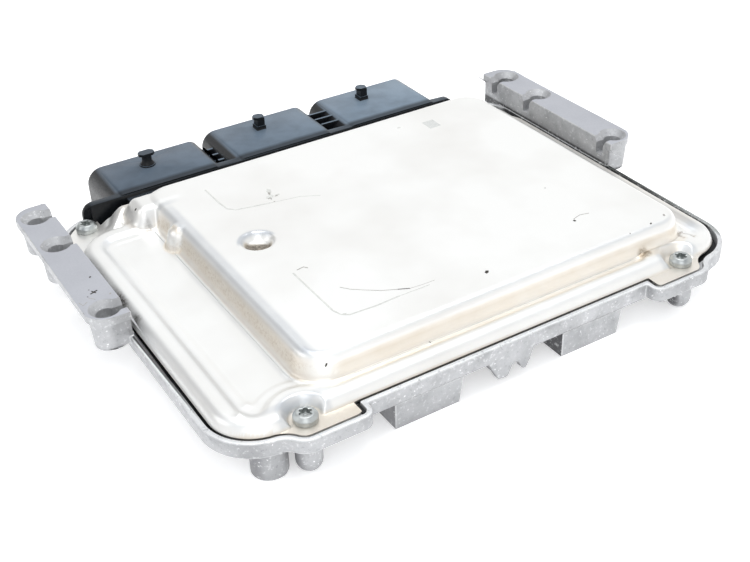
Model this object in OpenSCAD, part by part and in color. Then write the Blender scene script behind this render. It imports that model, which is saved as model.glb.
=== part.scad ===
// Engine control unit: a die-cast tray with side rails, a pressed sheet cover,
// a three-bay connector header and the circuit board that they enclose.
// X runs along the connector row, Y points out of the connector bays, Z is up.
// The origin lies on the resting plane, at the middle of the unit's outline.

/* [Tray] */
// Outer width of the tray across its rim
tray_w = 178; // [174:0.2:184]
// Outer depth of the tray from the front rim to the back rim
tray_d = 133.8; // [130:0.2:146]
// Corner radius of the rim, outside
tray_corner_r = 16; // [12:0.5:19]
// Thickness of the rim wall
rim_t = 1.6; // [1.4:0.1:2]
// Height of the rim's top above the resting plane
rim_top = 14; // [13.6:0.1:15]
// Height of the tray's underside above the resting plane
underside_z = 8; // [7:0.1:8.4]
// Height of the overhanging rim's lower edge above the resting plane
rim_low = 9; // [8.6:0.1:9.8]
// Overhang of the rim past the tray's underside
rim_overhang = 3; // [2.4:0.1:4]
// Thickness of the tray's floor
floor_t = 2; // [1.5:0.1:2.2]
// Reach of the front screw ears past the front rim
ear_reach = 4.8; // [4:0.1:6]
// Distance of an ear's inner end from its screw
ear_run = 16.6; // [14:0.2:19]
// Radius of the curves by which an ear flows into the front rim
ear_flow_r = 6; // [5:0.5:7]

/* [Rails] */
// Width of a mounting rail, seen from above
rail_w = 11.6; // [11.4:0.1:13]
// Length of a mounting rail
rail_len = 73.8; // [73.6:0.2:78]
// Reach of the rails past the back rim
rail_past = 1.2; // [0:0.1:2]
// Height of the rails' top above the resting plane
rail_top = 22.8; // [21:0.1:24]
// Height of the mounting bosses' lower face above the resting plane
rail_low = 11; // [10:0.1:11.6]
// Thickness of the rail's overhanging lip
rail_lip_t = 2.6; // [2:0.1:4]
// Corner radius of a rail's outer ends
rail_corner_r = 6.5; // [4:0.5:7]
// Diameter of the mounting holes
mount_hole_d = 5.8; // [5:0.1:6.2]
// Diameter of the countersinks above the mounting holes, at their mouth
mount_sink_d = 9.4; // [8.6:0.1:9.8]
// Depth of the countersinks
mount_sink_h = 2; // [1.2:0.1:2.6]
// Width of the slots from the mounting holes to the rail's inner face
mount_slot_w = 3.4; // [2.6:0.1:4.4]
// Depth of the slots below the rail's top
mount_slot_h = 6; // [4:0.1:7]
// Distance of the back mounting hole from the rail's back end
mount_back = 7.6; // [7:0.1:9]
// Distance of the middle mounting hole from the rail's back end
mount_middle = 27.1; // [24:0.1:40]
// Distance of the front mounting hole from the rail's front end
mount_front = 5.6; // [5.4:0.1:8]

/* [Underside] */
// Width of each front foot block
block_w = 22.4; // [16:0.2:26]
// Depth of each front foot block
block_d = 24; // [16:0.5:30]
// Distance of the blocks' middle from the middle of the unit
block_x = 28.6; // [26:0.2:32]
// Diameter of the locating feet
foot_d = 10.2; // [8:0.1:12]
// Height of the cooling fins below the tray
fin_h = 4.8; // [3:0.1:6]
// Width of a cooling fin at its root
fin_w = 5.6; // [4:0.1:6.5]
// Distance between neighbouring fins
fin_pitch = 9.2; // [8:0.1:12]
// Number of cooling fins
fin_count = 14; // [4:2:14]

/* [Cover] */
// Thickness of the cover's sheet
sheet_t = 1.2; // [0.8:0.1:1.4]
// Gap between the cover and the rim
cover_gap = 0.8; // [0.4:0.1:1]
// Height of the bead along the cover's edge above the rim
bead_h = 3; // [2.8:0.1:4]
// Rounding of the bead's outer edge
bead_r = 2.6; // [2:0.1:3]
// Width of the bead
bead_w = 7; // [6:0.1:7.6]
// Width of the bead along the front
front_bead_w = 5.4; // [5:0.1:6]
// Depth of the left panel below the bead
panel_sink = 1; // [0.6:0.1:1]
// Height of the plateau above the rim
plateau_h = 9; // [8:0.1:10]
// Corner radius of the plateau
plateau_corner_r = 10; // [8:0.5:12]
// Rounding of the plateau's upper edge
plateau_edge_r = 2.6; // [1.6:0.1:3]
// Draft of the plateau's wall, as its lean over the wall's height
plateau_draft = 1.6; // [0.5:0.1:2.5]
// Distance of the plateau's left foot from the cover's left edge
plateau_left = 25; // [24:0.2:28]
// Distance of the plateau's right foot from the cover's right edge
plateau_right = 10.2; // [10:0.2:13]
// Distance of the plateau's front foot from the cover's front edge
plateau_front = 8; // [8:0.1:10]
// Diameter of the round pit in the plateau
pit_d = 9; // [6:0.1:11]
// Depth of the round pit in the plateau
pit_depth = 3.4; // [2:0.1:4]
// Distance of the pit's middle from the back rim
pit_from_back = 59.6; // [56:0.2:64]
// Distance of the dome's middle from the back rim
dome_from_back = 37.8; // [36:0.2:40]
// Distance of the lobe's front from the back rim
lobe_from_back = 24; // [23:0.2:25]

/* [Screws] */
// Diameter of the cover screws' thread
cover_screw_d = 4; // [3:0.1:4.2]
// Diameter of the cover screws' heads
cover_head_d = 6.8; // [6.4:0.1:7.6]
// Height of the cover screws' heads
cover_head_h = 2.6; // [1.8:0.1:3]
// Length of the cover screws below the head
cover_screw_len = 8; // [7:0.5:9]
// Distance of the front cover screws from the tray's sides
front_screw_side = 24; // [22:0.2:25]
// Distance of the front cover screws from the front rim
front_screw_inset = 3.3; // [3:0.1:4]
// Distance of the back cover screws from the tray's sides
back_screw_side = 10.6; // [10:0.1:11]
// Distance of the back cover screws from the back rim
back_screw_inset = 7.8; // [7.6:0.1:8.2]
// Diameter of the board screws' thread
board_screw_d = 2.6; // [2:0.1:3]
// Diameter of the board screws' heads
board_head_d = 5; // [4.4:0.1:5.6]

/* [Connector header] */
// Distance of the flange's left end from the tray's left side
flange_left = 11.4; // [10.8:0.1:12.2]
// Distance of the flange's right end from the tray's right side
flange_right = 19; // [18:0.1:20]
// Thickness of the header's flange
flange_t = 3; // [2.4:0.1:3.6]
// Height of the flange's top above the resting plane
flange_top = 20; // [19:0.1:20.4]
// Height of the flange's lower edge above the resting plane
flange_low = 2; // [1.8:0.1:3]
// Reach of the flange past the left shroud
flange_past_left = 9.6; // [8.4:0.1:11]
// Reach of the flange past the right shroud
flange_past_right = 7; // [6.4:0.1:9]
// Gap between neighbouring shrouds
bay_gap = 2.8; // [2:0.1:4.5]
// Wall of a connector shroud
shroud_wall = 1.7; // [1.4:0.1:2.2]
// Rise of the shrouds above the flange
shroud_rise = 0.4; // [0:0.1:0.8]
// Corner radius of a connector shroud on its left side
shroud_left_r = 5.6; // [4:0.1:6]
// Corner radius of a connector shroud on its right side
shroud_right_r = 3.8; // [3:0.1:5]
// Reach of the shrouds past the back rim
shroud_reach = 22; // [20:0.5:26]
// Amount by which the left shroud is shorter than the others
left_shroud_short = 3; // [0:0.1:5]
// Thickness of the webs between the shrouds
web_t = 1; // [0.8:0.1:1.6]
// Drop of the webs below the shrouds' top, left and right of the middle shroud
web_drop = [2.6, 0.6];
// Height of the locking knobs above the shrouds
knob_h = 4.8; // [3.6:0.1:6]
// Diameter of the left locking knob's foot
knob_d = 5.4; // [4.4:0.1:6]
// Place of the locking knobs along X from the middle of the left, middle and right shroud
knob_x = [-1.3, -1.2, -2.2];
// Side of a square contact pin
pin_t = 0.8; // [0.6:0.05:1]
// Distance between the contact rows
row_pitch = 2.8; // [2.6:0.05:2.9]
// Contact columns in the left, middle and right bay
bay_columns = [8, 12, 8];
// Distance from a shroud's side to the first contact in the left, middle and right bay
bay_margin = [7.1, 6.1, 7.1];

/* [Circuit board] */
// Distance of the board's side edges from the tray's sides
board_side = 7.5; // [7:0.1:9]
// Distance of the board's front edge from the front rim
board_front_gap = 9.6; // [9.4:0.1:11]
// Distance of the board's back edge from the back of the cover's bead
board_back_gap = 2.2; // [2:0.1:2.6]
// Thickness of the circuit board
board_t = 1.6; // [1.2:0.1:2]
// Gap between the board and the tray's floor, filled by the thermal pads
board_gap = 1.4; // [1:0.1:1.6]
// Side of the microcontroller
processor_w = 25; // [20:0.5:27]
// Diameter of the electrolytic capacitors
capacitor_d = 7.6; // [6:0.1:7.8]
// Length of the electrolytic capacitors
capacitor_len = 16; // [12:0.5:18]
// Side of the boost inductors
inductor_w = 12; // [9:0.5:13]

/* [Hidden] */
$fn = 64;

// Clearances
fit = 0.2;
seat = 0.3;
over = 1;
bite = 0.4;

// The outline along Y is centred on the origin
overall_d = ear_reach + tray_d + shroud_reach;
front = -overall_d / 2 + ear_reach;
back = front + tray_d;
half_w = tray_w / 2;
floor_z = underside_z + floor_t;

// The cover lies inside the rim with its gap
cover_inset = rim_t + cover_gap;
cover_half = half_w - cover_inset;
cover_front = front + cover_inset;
cover_r = tray_corner_r - cover_inset;
ear_seat_z = rim_top - 1.5;
ear_top_z = ear_seat_z + sheet_t;
bead_top = rim_top + bead_h;
panel_top = bead_top - panel_sink;
panel_corner_r = 6;
plateau_top = rim_top + plateau_h;
skirt_low = floor_z + 1.6;
bead_back = back - 15;
plateau_x0 = -cover_half + plateau_left;
plateau_x1 = cover_half - plateau_right;
plateau_y0 = cover_front + plateau_front;
plateau_y1 = back - 8;
pit_x = plateau_x0 + 20;
pit_y = back - pit_from_back;
dome_x = plateau_x0 + 1;
dome_y = back - dome_from_back;
dome_r = 4;
dome_z = plateau_top - dome_r - 1;
lobe_x0 = plateau_x0 - 5.6;
lobe_y0 = back - lobe_from_back;
lobe_r = 5;
lobe_top = plateau_top - 2;
seat_r = cover_head_d / 2 + 1.2;
front_screw_x = half_w - front_screw_side;
back_screw_x = half_w - back_screw_side;
seat_run = 12.4;
seat_inner_x = back_screw_x - seat_run;
land_x0 = -back_screw_x + seat_r;
land_top = bead_top - 0.6;

// Screw places
front_screws = [for (s = [-1, 1]) [s * front_screw_x, front + front_screw_inset]];
back_screws = [for (s = [-1, 1]) [s * back_screw_x, back - back_screw_inset]];
cover_screw_places = concat(front_screws, back_screws);
screw_boss_r = cover_screw_d / 2 + 1.7;
screw_tip_r = screw_boss_r - 0.1;
seal_ring_r = screw_boss_r + 1.6;
screw_tip_z = screw_tip_r + 0.1;
screw_hole_low = ear_top_z - cover_screw_len - 0.5;
back_boss_low = screw_hole_low - 1.2;

// Ears: a curve outwards and a curve back into the rim's corner, each a hair's breadth past the next
ear_low = rim_low + 0.4;
ear_end_r = 3.4;
ear_turn = 8;
ear_inner_x = front_screw_x - ear_run;
ear_lap = 0.02;
corner_x = half_w - tray_corner_r;
corner_y = front + tray_corner_r;
ear_in_reach = ear_flow_r + tray_corner_r - ear_lap;
ear_in = [corner_x + ear_in_reach * sin(ear_turn), corner_y - ear_in_reach * cos(ear_turn)];
ear_out_y = front - ear_reach + ear_flow_r;
ear_out = [ear_in[0] - sqrt(4 * ear_flow_r * ear_flow_r - pow(ear_out_y - ear_in[1], 2)), ear_out_y];

// Locating foot below the front left corner
front_foot = [-half_w + 14, front + 6.2];

// Rails and mounting holes
rail_inner = half_w - 1.2;
rail_outer = rail_inner + rail_w;
rail_back = back + rail_past;
rail_front = rail_back - rail_len;
mount_x = rail_inner + 5.6;
mount_y = [mount_back, mount_middle, rail_len - mount_front];
mount_boss_r = mount_sink_d / 2 + 0.5;
mount_slot_z = rail_top - mount_slot_h;
mount_flare_w = mount_slot_w + 2.6;
mount_boss_taper = 0.7;
rail_web_w = mount_x - rail_inner + 1;

// Header: the flange closes the back of the tray and of the cover
flange_x0 = -half_w + flange_left;
flange_x1 = half_w - flange_right;
flange_w = flange_x1 - flange_x0;
header_x = (flange_x0 + flange_past_left + flange_x1 - flange_past_right) / 2;
shroud_w = (flange_w - flange_past_left - flange_past_right - 2 * bay_gap) / 3;
shroud_pitch = shroud_w + bay_gap;
flange_y = back - 4.6;
mouth_y = back + shroud_reach;
shroud_low = flange_low - 0.4;
shroud_top = flange_top + shroud_rise;
cavity_y = flange_y + flange_t + 1.2;
dam_edge = 1.7;
dam_half = shroud_pitch + shroud_w / 2 - bay_margin[0] + dam_edge;
dam_x0 = header_x - dam_half;
dam_x1 = header_x + dam_half;
dam_front = plateau_y1 - 3;
dam_top = plateau_top - 4.2;
dam_low = floor_z + board_gap + board_t + fit;
wing_top = ear_seat_z - fit;
web_count = 3;
web_pitch = 4.7;
web_y = flange_y + flange_t + 5.6;
knob_inset = 8;
knob_foot_h = 1.4;
knob_neck_d = 3.4;
knob_head_h = 0.9;
knob_head_cut = 1.1;
knob_head = [5.6, 3.6];
hook_head = [4, 3.6];
hook_body = [3, 3.2];

// Trough behind the board, below the contact rows
trough_wall = 3.4;
trough_x0 = flange_x0 + 1.6;
trough_x1 = flange_x1 - 1.6;
trough_front = back - 31;
trough_floor = shroud_low + 2.2;
header_seal_t = 0.6;
trough_back = flange_y - header_seal_t;

// Board
board_low = floor_z + board_gap;
board_top = board_low + board_t;
board_front = front + board_front_gap;
board_back = bead_back - board_back_gap;
board_w = tray_w - 2 * board_side;
board_d = board_back - board_front;
board_ledge = 3;
board_corner_r = 6;
board_head_h = 1.4;
board_screw_side = 6;
board_screw_front = 8;
board_screw_back = 24;
board_screw_x = board_w / 2 - board_screw_side;
board_screw_places = [for (s = [-1, 1], y = [board_front + board_screw_front, board_back - board_screw_back])
    [s * board_screw_x, y]];
board_post_r = board_head_d / 2 + 0.6;

// Contact rows: two pass over the board and two pass below it
row_z = [board_low - row_pitch * 2, board_low - row_pitch, board_top + row_pitch * 0.7, board_top + row_pitch * 1.7];
leg_pitch = 2.6;
leg_edge = 2;
leg_past = 0.6;
pin_recess = 8;
pin_gap = 0.1;
leg_y = [for (k = [3, 2, 0, 1]) board_back - leg_edge - k * leg_pitch];
leg_end = board_low - leg_past;
leg_tip = board_top + leg_past;
pin_tip_y = mouth_y - left_shroud_short - pin_recess;
pin_hole = pin_t + pin_gap;

// Places on the board, as shares of its width and depth, and sizes of the components
processor_at = share(0.05, 0.486);
processor_h = 2.2;
memory_at = share(-0.098, 0.523);
memory_size = [12, 18, 1.4];
driver_places = [share(-0.245, 0.224), share(-0.098, 0.206), share(-0.245, 0.411)];
driver_size = [16, 11, 3.3];
driver_pad = [18, 12];
regulator_at = share(0.16, 0.71);
regulator_size = [14, 11, 3];
transistor_count = 6;
transistor_step = 0.0736;
transistor_places = [for (k = [0:transistor_count - 1]) share(0.393 - transistor_step * k, 0.131)];
transistor_size = [10, 9, 4.4];
transistor_tab = [9.2, 2.2, 1.3];
transistor_lead = [0.8, 3.5, 0.6];
transistor_pad_at = share(0.209, 0.131);
transistor_pad = [(transistor_count - 1) * transistor_step * board_w + transistor_size[0] + 2, 12];
capacitor_places = [share(0.282, 0.748), share(0.282, 0.841)];
capacitor_lead = [0.6, 0.6, 3];
inductor_places = [share(0.319, 0.579), share(0.319, 0.421)];
inductor_h = 7;
crystal_at = share(-0.086, 0.71);
crystal_size = [11.2, 4.6, 3.8];
shunt_places = [for (k = [0:3]) share(0.172 - 0.0552 * k, 0.28)];
shunt_size = [6.4, 3.2, 0.8];
chip_places = [for (column = [0:2], row = [0:3]) share(-0.405 + 0.0245 * column, 0.187 + 0.056 * row)];
chip_size = [3.2, 1.6, 1.2];
lead_t = 0.25;
lead_out = 1.2;

function share(across, along) = [across * board_w, along * board_d];
function bay_pitch(bay) = (shroud_w - 2 * bay_margin[bay]) / (bay_columns[bay] - 1);
function bay_x(bay) = header_x + (bay - 1) * shroud_pitch;
function bay_mouth(bay) = mouth_y - (bay == 0 ? left_shroud_short : 0);
function pin_x(bay, column) = bay_x(bay) + (column - (bay_columns[bay] - 1) / 2) * bay_pitch(bay);
function arc(cx, cy, r, a0, a1, steps) =
    [for (k = [0:steps]) let (a = a0 + (a1 - a0) * k / steps) [cx + r * cos(a), cy + r * sin(a)]];

// Outline with round corners
module rounded(x0, x1, y0, y1, r) {
    translate([x0 + r, y0]) square([x1 - x0 - 2 * r, y1 - y0]);
    translate([x0, y0 + r]) square([x1 - x0, y1 - y0 - 2 * r]);
    for (x = [x0 + r, x1 - r], y = [y0 + r, y1 - r]) translate([x, y]) circle(r);
}

module plate(x0, x1, y0, y1, r, z0, z1) {
    translate([0, 0, z0]) linear_extrude(z1 - z0) rounded(x0, x1, y0, y1, r);
}

module block(x0, x1, y0, y1, z0, z1) {
    translate([x0, y0, z0]) cube([x1 - x0, y1 - y0, z1 - z0]);
}

module post(place, r, z0, z1) {
    translate([place[0], place[1], z0]) cylinder(h = z1 - z0, r = r);
}

// Sweeps a section along a round-cornered outline: the section's x points outwards
module swept(x0, x1, y0, y1, r) {
    for (s = [0, 1]) {
        translate([(x0 + x1) / 2, (y0 + y1) / 2, 0]) rotate(180 * s) {
            translate([(x1 - x0) / 2, (y1 - y0) / 2 - r, 0]) rotate([90, 0, 0])
                linear_extrude(y1 - y0 - 2 * r) children();
            translate([r - (x1 - x0) / 2, (y1 - y0) / 2, 0]) rotate([90, 0, 90])
                linear_extrude(x1 - x0 - 2 * r) children();
            translate([(x1 - x0) / 2 - r, (y1 - y0) / 2 - r, 0])
                rotate_extrude(angle = 90) translate([r, 0]) children();
            translate([r - (x1 - x0) / 2, (y1 - y0) / 2 - r, 0]) rotate(90)
                rotate_extrude(angle = 90) translate([r, 0]) children();
        }
    }
}

// A pressed step: a leaning wall with a rounded upper edge
module pressed_step(x0, x1, y0, y1, r, z0, z1, edge_r, draft) {
    inner = draft + edge_r;
    swept(x0, x1, y0, y1, r)
        polygon(concat([[-inner - bite, z0], [0, z0]],
            arc(-inner, z1 - edge_r, edge_r, 0, 90, 6), [[-inner - bite, z1]]));
    plate(x0 + inner, x1 - inner, y0 + inner, y1 - inner, r - inner, z0, z1);
}

// The solid that the sheet wraps; an inset of one sheet gives its inner face
module cover_form(inset) {
    low = skirt_low - (inset > 0 ? over : 0);
    difference() {
        union() {
            difference() {
                pressed_step(-cover_half + inset, cover_half - inset, cover_front + inset, bead_back - inset,
                    cover_r - inset, low, bead_top - inset, bead_r - inset, 0);
                plate(-cover_half + bead_w - inset, cover_half - bead_w + inset, cover_front + front_bead_w - inset,
                    bead_back - bead_w + inset, panel_corner_r + inset, panel_top - inset, bead_top + over);
            }
            pressed_step(plateau_x0 + inset, plateau_x1 - inset, plateau_y0 + inset, plateau_y1 - inset,
                plateau_corner_r - inset, low, plateau_top - inset, plateau_edge_r - inset / 2, plateau_draft);
            plate(lobe_x0 + inset, plateau_x0 + 2 * lobe_r, lobe_y0 + inset, plateau_y1 - inset,
                lobe_r - inset, low, lobe_top - inset);
            plate(land_x0 + inset, lobe_x0 + 2 * lobe_r, bead_back - 2 * lobe_r, plateau_y1 - inset,
                2 - inset, low, land_top - inset);
            translate([dome_x, dome_y, dome_z]) sphere(dome_r - inset);
            post([dome_x, dome_y], dome_r - inset, low, dome_z);
        }
        for (place = front_screws) post(place, seat_r + inset, ear_top_z - inset, plateau_top);
        post([pit_x, pit_y], pit_d / 2 + inset, plateau_top - pit_depth - inset, plateau_top + over);
    }
}

// Flat seats of the sheet under the screw heads
module cover_flats() {
    for (s = [-1, 1]) mirror([s < 0 ? 1 : 0, 0, 0]) {
        translate([0, 0, ear_seat_z]) linear_extrude(sheet_t) ear_outline(cover_inset, cover_front + seat_r);
        intersection() {
            plate(-cover_half, cover_half, cover_front, back - cover_inset, cover_r, ear_seat_z, ear_top_z);
            block(seat_inner_x, half_w, bead_back - cover_r, back, ear_seat_z, ear_top_z);
        }
    }
}

module cover() {
    color("gainsboro") difference() {
        union() {
            cover_form(0);
            cover_flats();
        }
        cover_form(sheet_t);
        block(flange_x0 - fit, flange_x1 + fit, flange_y - fit, back + over, 0, plateau_top + over);
        block(dam_x0 - fit, dam_x1 + fit, plateau_y1 - sheet_t - plateau_edge_r, back, 0, dam_top + seat);
        for (place = front_screws) post(place, screw_boss_r + fit, 0, ear_seat_z);
        for (place = cover_screw_places) post(place, cover_screw_d / 2 + fit, 0, plateau_top);
    }
}

module rim_outline(inset) {
    rounded(-half_w + inset, half_w - inset, front + inset, back - inset, tray_corner_r - inset);
}

// One ear's outline, drawn in by an inset, up to the line y1 behind the front rim
module ear_outline(inset, y1) {
    x0 = ear_inner_x + inset;
    y0 = front - ear_reach + inset;
    r = ear_end_r - inset;
    translate([x0, y0 + r]) square([ear_out[0] - x0, y1 - y0 - r]);
    translate([x0 + r, y0]) square([ear_out[0] - x0 - r, y1 - y0]);
    translate([x0 + r, y0 + r]) circle(r);
    intersection() {
        translate(ear_out) circle(ear_flow_r + ear_lap - inset);
        translate([x0, y0]) square([half_w, y1 - y0]);
    }
    difference() {
        polygon([ear_out, ear_in,
            [corner_x + (tray_corner_r - inset) * sin(ear_turn), corner_y - (tray_corner_r - inset) * cos(ear_turn)],
            [ear_in[0], y1], [ear_out[0], y1]]);
        translate(ear_in) circle(ear_flow_r + inset);
    }
}

// Outline of a rail with round outer corners
module rail_outline() {
    intersection() {
        translate([rail_inner, rail_front]) square([rail_w, rail_len]);
        union() {
            rounded(rail_outer - rail_w - rail_corner_r, rail_outer, rail_front, rail_back, rail_corner_r);
        }
    }
}

// One side rail: an overhanging lip on a web, with a boss below each hole
module rail() {
    translate([0, 0, rail_top - rail_lip_t]) linear_extrude(rail_lip_t) rail_outline();
    plate(rail_inner, rail_inner + rail_web_w, rail_front + 1, rail_back - 1, 1, rail_low + 0.6, rail_top - bite);
    for (y = mount_y) translate([mount_x, rail_back - y, rail_low])
        cylinder(h = rail_top - bite - rail_low, r1 = mount_boss_r - mount_boss_taper, r2 = mount_boss_r);
    block(half_w - rim_t, rail_inner + bite, rail_front + 2, back - tray_corner_r, rim_low + 0.8, rim_top);
}

// Mounting holes: a countersink, and a slot that opens to the rail's inner face
module rail_holes() {
    lean = (mount_sink_d - mount_hole_d) / mount_sink_h;
    reach = mount_x - rail_inner + over;
    for (y = mount_y) translate([mount_x, rail_back - y, 0]) {
        cylinder(h = rail_top + over, d = mount_hole_d);
        translate([0, 0, rail_top - mount_sink_h - bite])
            cylinder(h = mount_sink_h + 2 * bite, d1 = mount_hole_d - lean * bite, d2 = mount_sink_d + lean * bite);
        translate([-reach, 0, 0]) rotate([90, 0, 90]) linear_extrude(reach)
            polygon([[-mount_slot_w / 2, mount_slot_z], [mount_slot_w / 2, mount_slot_z],
                [mount_slot_w / 2, rail_top - mount_sink_h], [mount_flare_w / 2, rail_top],
                [mount_flare_w / 2, rail_top + over], [-mount_flare_w / 2, rail_top + over],
                [-mount_flare_w / 2, rail_top], [-mount_slot_w / 2, rail_top - mount_sink_h]]);
    }
}

module fins() {
    for (k = [0:fin_count - 1]) {
        x = (k - (fin_count - 1) / 2) * fin_pitch;
        in_middle = abs(x) < fin_pitch;
        y0 = front + (in_middle ? 1 : block_d + 4);
        translate([x, trough_front - over, underside_z + bite]) rotate([90, 0, 0])
            linear_extrude(trough_front - over - y0)
                polygon([[-fin_w / 2, 0], [-fin_w / 4, -fin_h - bite], [fin_w / 4, -fin_h - bite], [fin_w / 2, 0]]);
    }
}

// Foot block with leaning flanks
module foot_block() {
    lean = 1.4;
    translate([0, block_d, 0]) rotate([90, 0, 0]) linear_extrude(block_d)
        polygon([[-block_w / 2, underside_z + bite], [-block_w / 2, 0],
            [block_w / 2 - lean, 0], [block_w / 2, underside_z + bite]]);
}

module tray() {
    color("silver") difference() {
        union() {
            difference() {
                union() {
                    translate([0, 0, rim_low]) linear_extrude(rim_top - rim_low) rim_outline(0);
                    for (s = [-1, 1]) mirror([s < 0 ? 1 : 0, 0, 0]) translate([0, 0, ear_low])
                        linear_extrude(rim_top - ear_low) ear_outline(0, front + rim_t);
                    plate(-half_w + rim_overhang, half_w - rim_overhang, front + rim_overhang, back - rim_overhang,
                        tray_corner_r - rim_overhang, underside_z, rim_low + bite);
                }
                translate([0, 0, floor_z]) linear_extrude(rim_top) rim_outline(rim_t);
                for (s = [-1, 1]) mirror([s < 0 ? 1 : 0, 0, 0]) translate([0, 0, ear_seat_z])
                    linear_extrude(rim_top) ear_outline(rim_t, front + rim_t + over);
            }
            difference() {
                plate(-cover_half + board_ledge, cover_half - board_ledge, cover_front + board_ledge, board_back,
                    cover_r - board_ledge, floor_z - bite, board_low);
                plate(-board_w / 2 + board_ledge, board_w / 2 - board_ledge, board_front + board_ledge,
                    board_back + over, cover_r - board_ledge - 3, floor_z - bite - over, board_low + over);
                for (place = front_screws) post(place, seal_ring_r + fit, floor_z, board_low + over);
            }
            for (s = [-1, 1]) mirror([s < 0 ? 1 : 0, 0, 0]) rail();
            for (s = [-1, 1]) translate([s * block_x, front + 0.5, 0]) foot_block();
            fins();
            plate(trough_x0, trough_x1, trough_front, trough_back, 2, shroud_low, floor_z);
            block(trough_x0, trough_x1, trough_back - trough_wall, trough_back, shroud_low, floor_z);
            for (place = front_screws) {
                post(place, screw_boss_r, screw_tip_z, ear_seat_z);
                translate([place[0], place[1], screw_tip_z]) sphere(screw_tip_r);
            }
            for (place = back_screws) post(place, screw_boss_r + 0.8, back_boss_low, ear_seat_z);
            for (place = board_screw_places) post(place, board_post_r, underside_z - 1.6, board_low);
            post(front_foot, foot_d / 2, 0, rim_low + bite);
            for (x = [trough_x0 + foot_d, trough_x1 - foot_d])
                post([x, trough_front + foot_d], foot_d / 2, 0, shroud_low + bite);
        }
        rail_holes();
        mirror([1, 0, 0]) rail_holes();
        block(flange_x0 - fit, flange_x1 + fit, flange_y - header_seal_t, back + over, -over, rim_top + over);
        block(trough_x0 + trough_wall, trough_x1 - trough_wall, trough_front + trough_wall, back + over,
            trough_floor, rim_top + over);
        for (place = cover_screw_places) post(place, cover_screw_d / 2, screw_hole_low, rim_top);
        for (place = board_screw_places) post(place, board_screw_d / 2, underside_z - 0.4, board_top);
    }
}

// Head of a locking knob: a flat plate with cut corners
module head_plate(size) {
    x = size[0] / 2;
    y = size[1] / 2;
    translate([0, 0, knob_h - knob_head_h]) linear_extrude(knob_head_h)
        polygon([[-x, -y + knob_head_cut], [-x + knob_head_cut, -y], [x - knob_head_cut, -y], [x, -y + knob_head_cut],
            [x, y - knob_head_cut], [x - knob_head_cut, y], [-x + knob_head_cut, y], [-x, y - knob_head_cut]]);
}

// Left locking knob: a flared foot, a narrow neck and a wide head
module knob() {
    translate([0, 0, -bite]) cylinder(h = bite + 0.5, d = knob_d);
    translate([0, 0, 0.5 - bite / 4]) cylinder(h = knob_foot_h, d1 = knob_d - bite, d2 = knob_neck_d);
    cylinder(h = knob_h - bite, d = knob_neck_d);
    head_plate(knob_head);
}

// Middle and right locking knob: a square body on a wider foot, with a head that overhangs to the left
module hook() {
    right = hook_head[0] / 2;
    translate([right - hook_body[0] - bite, -hook_body[1] / 2 - bite, -bite])
        cube([hook_body[0] + bite, hook_body[1] + 2 * bite, knob_foot_h + bite]);
    translate([right - hook_body[0], -hook_body[1] / 2, 0]) cube([hook_body[0] - 0.2, hook_body[1], knob_h - bite]);
    head_plate(hook_head);
}

module shroud_section(inset) {
    x0 = -shroud_w / 2 + inset;
    x1 = shroud_w / 2 - inset;
    z0 = shroud_low + inset;
    z1 = shroud_top - inset;
    left = shroud_left_r - inset;
    right = shroud_right_r - inset;
    translate([x0 + left, z0]) square([x1 - x0 - left - right, z1 - z0]);
    translate([x0, z0 + left]) square([left + bite, z1 - z0 - 2 * left]);
    translate([x1 - right - bite, z0 + right]) square([right + bite, z1 - z0 - 2 * right]);
    for (z = [z0 + left, z1 - left]) translate([x0 + left, z]) circle(left);
    for (z = [z0 + right, z1 - right]) translate([x1 - right, z]) circle(right);
}

module along_y(y0, y1) {
    translate([0, y1, 0]) rotate([90, 0, 0]) linear_extrude(y1 - y0) children();
}

module bay_pin_holes(bay) {
    for (column = [0:bay_columns[bay] - 1], row = [0:3])
        translate([pin_x(bay, column) - pin_hole / 2, 0, row_z[row] - pin_hole / 2])
            cube([pin_hole, mouth_y, pin_hole]);
}

module connector_header() {
    web_reach = bay_gap / 2 + shroud_wall;
    color("#24272b") difference() {
        union() {
            along_y(flange_y, flange_y + flange_t) rounded(flange_x0, flange_x1, flange_low, flange_top, 4);
            block(dam_x0, dam_x1, dam_front, flange_y + bite, dam_low, dam_top);
            block(trough_x0, trough_x1, plateau_y1 + fit, flange_y + bite, floor_z + fit, wing_top);
            for (bay = [0:2]) translate([bay_x(bay), 0, 0]) {
                along_y(flange_y + bite, bay_mouth(bay)) shroud_section(0);
                translate([knob_x[bay], bay_mouth(bay) - knob_inset, shroud_top]) {
                    if (bay == 0) knob();
                    else hook();
                }
            }
            for (side = [0, 1], k = [0:web_count - 1]) {
                x = header_x + (side - 0.5) * shroud_pitch;
                block(x - web_reach, x + bay_gap / 2 + shroud_left_r, web_y + web_pitch * k,
                    web_y + web_pitch * k + web_t, shroud_low + shroud_left_r, shroud_top - web_drop[side]);
            }
        }
        for (place = back_screws) post(place, seat_r, 0, flange_top + over);
        for (bay = [0:2]) {
            translate([bay_x(bay), 0, 0]) along_y(cavity_y, mouth_y + over) shroud_section(shroud_wall);
            bay_pin_holes(bay);
        }
    }
}

// Contact pins of one bay: a straight tip in the shroud and a leg through the board
module bay_pins(bay) {
    color("goldenrod") for (column = [0:bay_columns[bay] - 1], row = [0:3])
        translate([pin_x(bay, column) - pin_t / 2, 0, 0]) {
            y = leg_y[row];
            z = row_z[row];
            translate([0, y, z - pin_t / 2]) cube([pin_t, pin_tip_y - y, pin_t]);
            if (row < 2) translate([0, y, z - pin_t / 2]) cube([pin_t, pin_t, leg_tip - z + pin_t / 2]);
            else translate([0, y, leg_end]) cube([pin_t, pin_t, z - leg_end + pin_t / 2]);
        }
}

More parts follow.
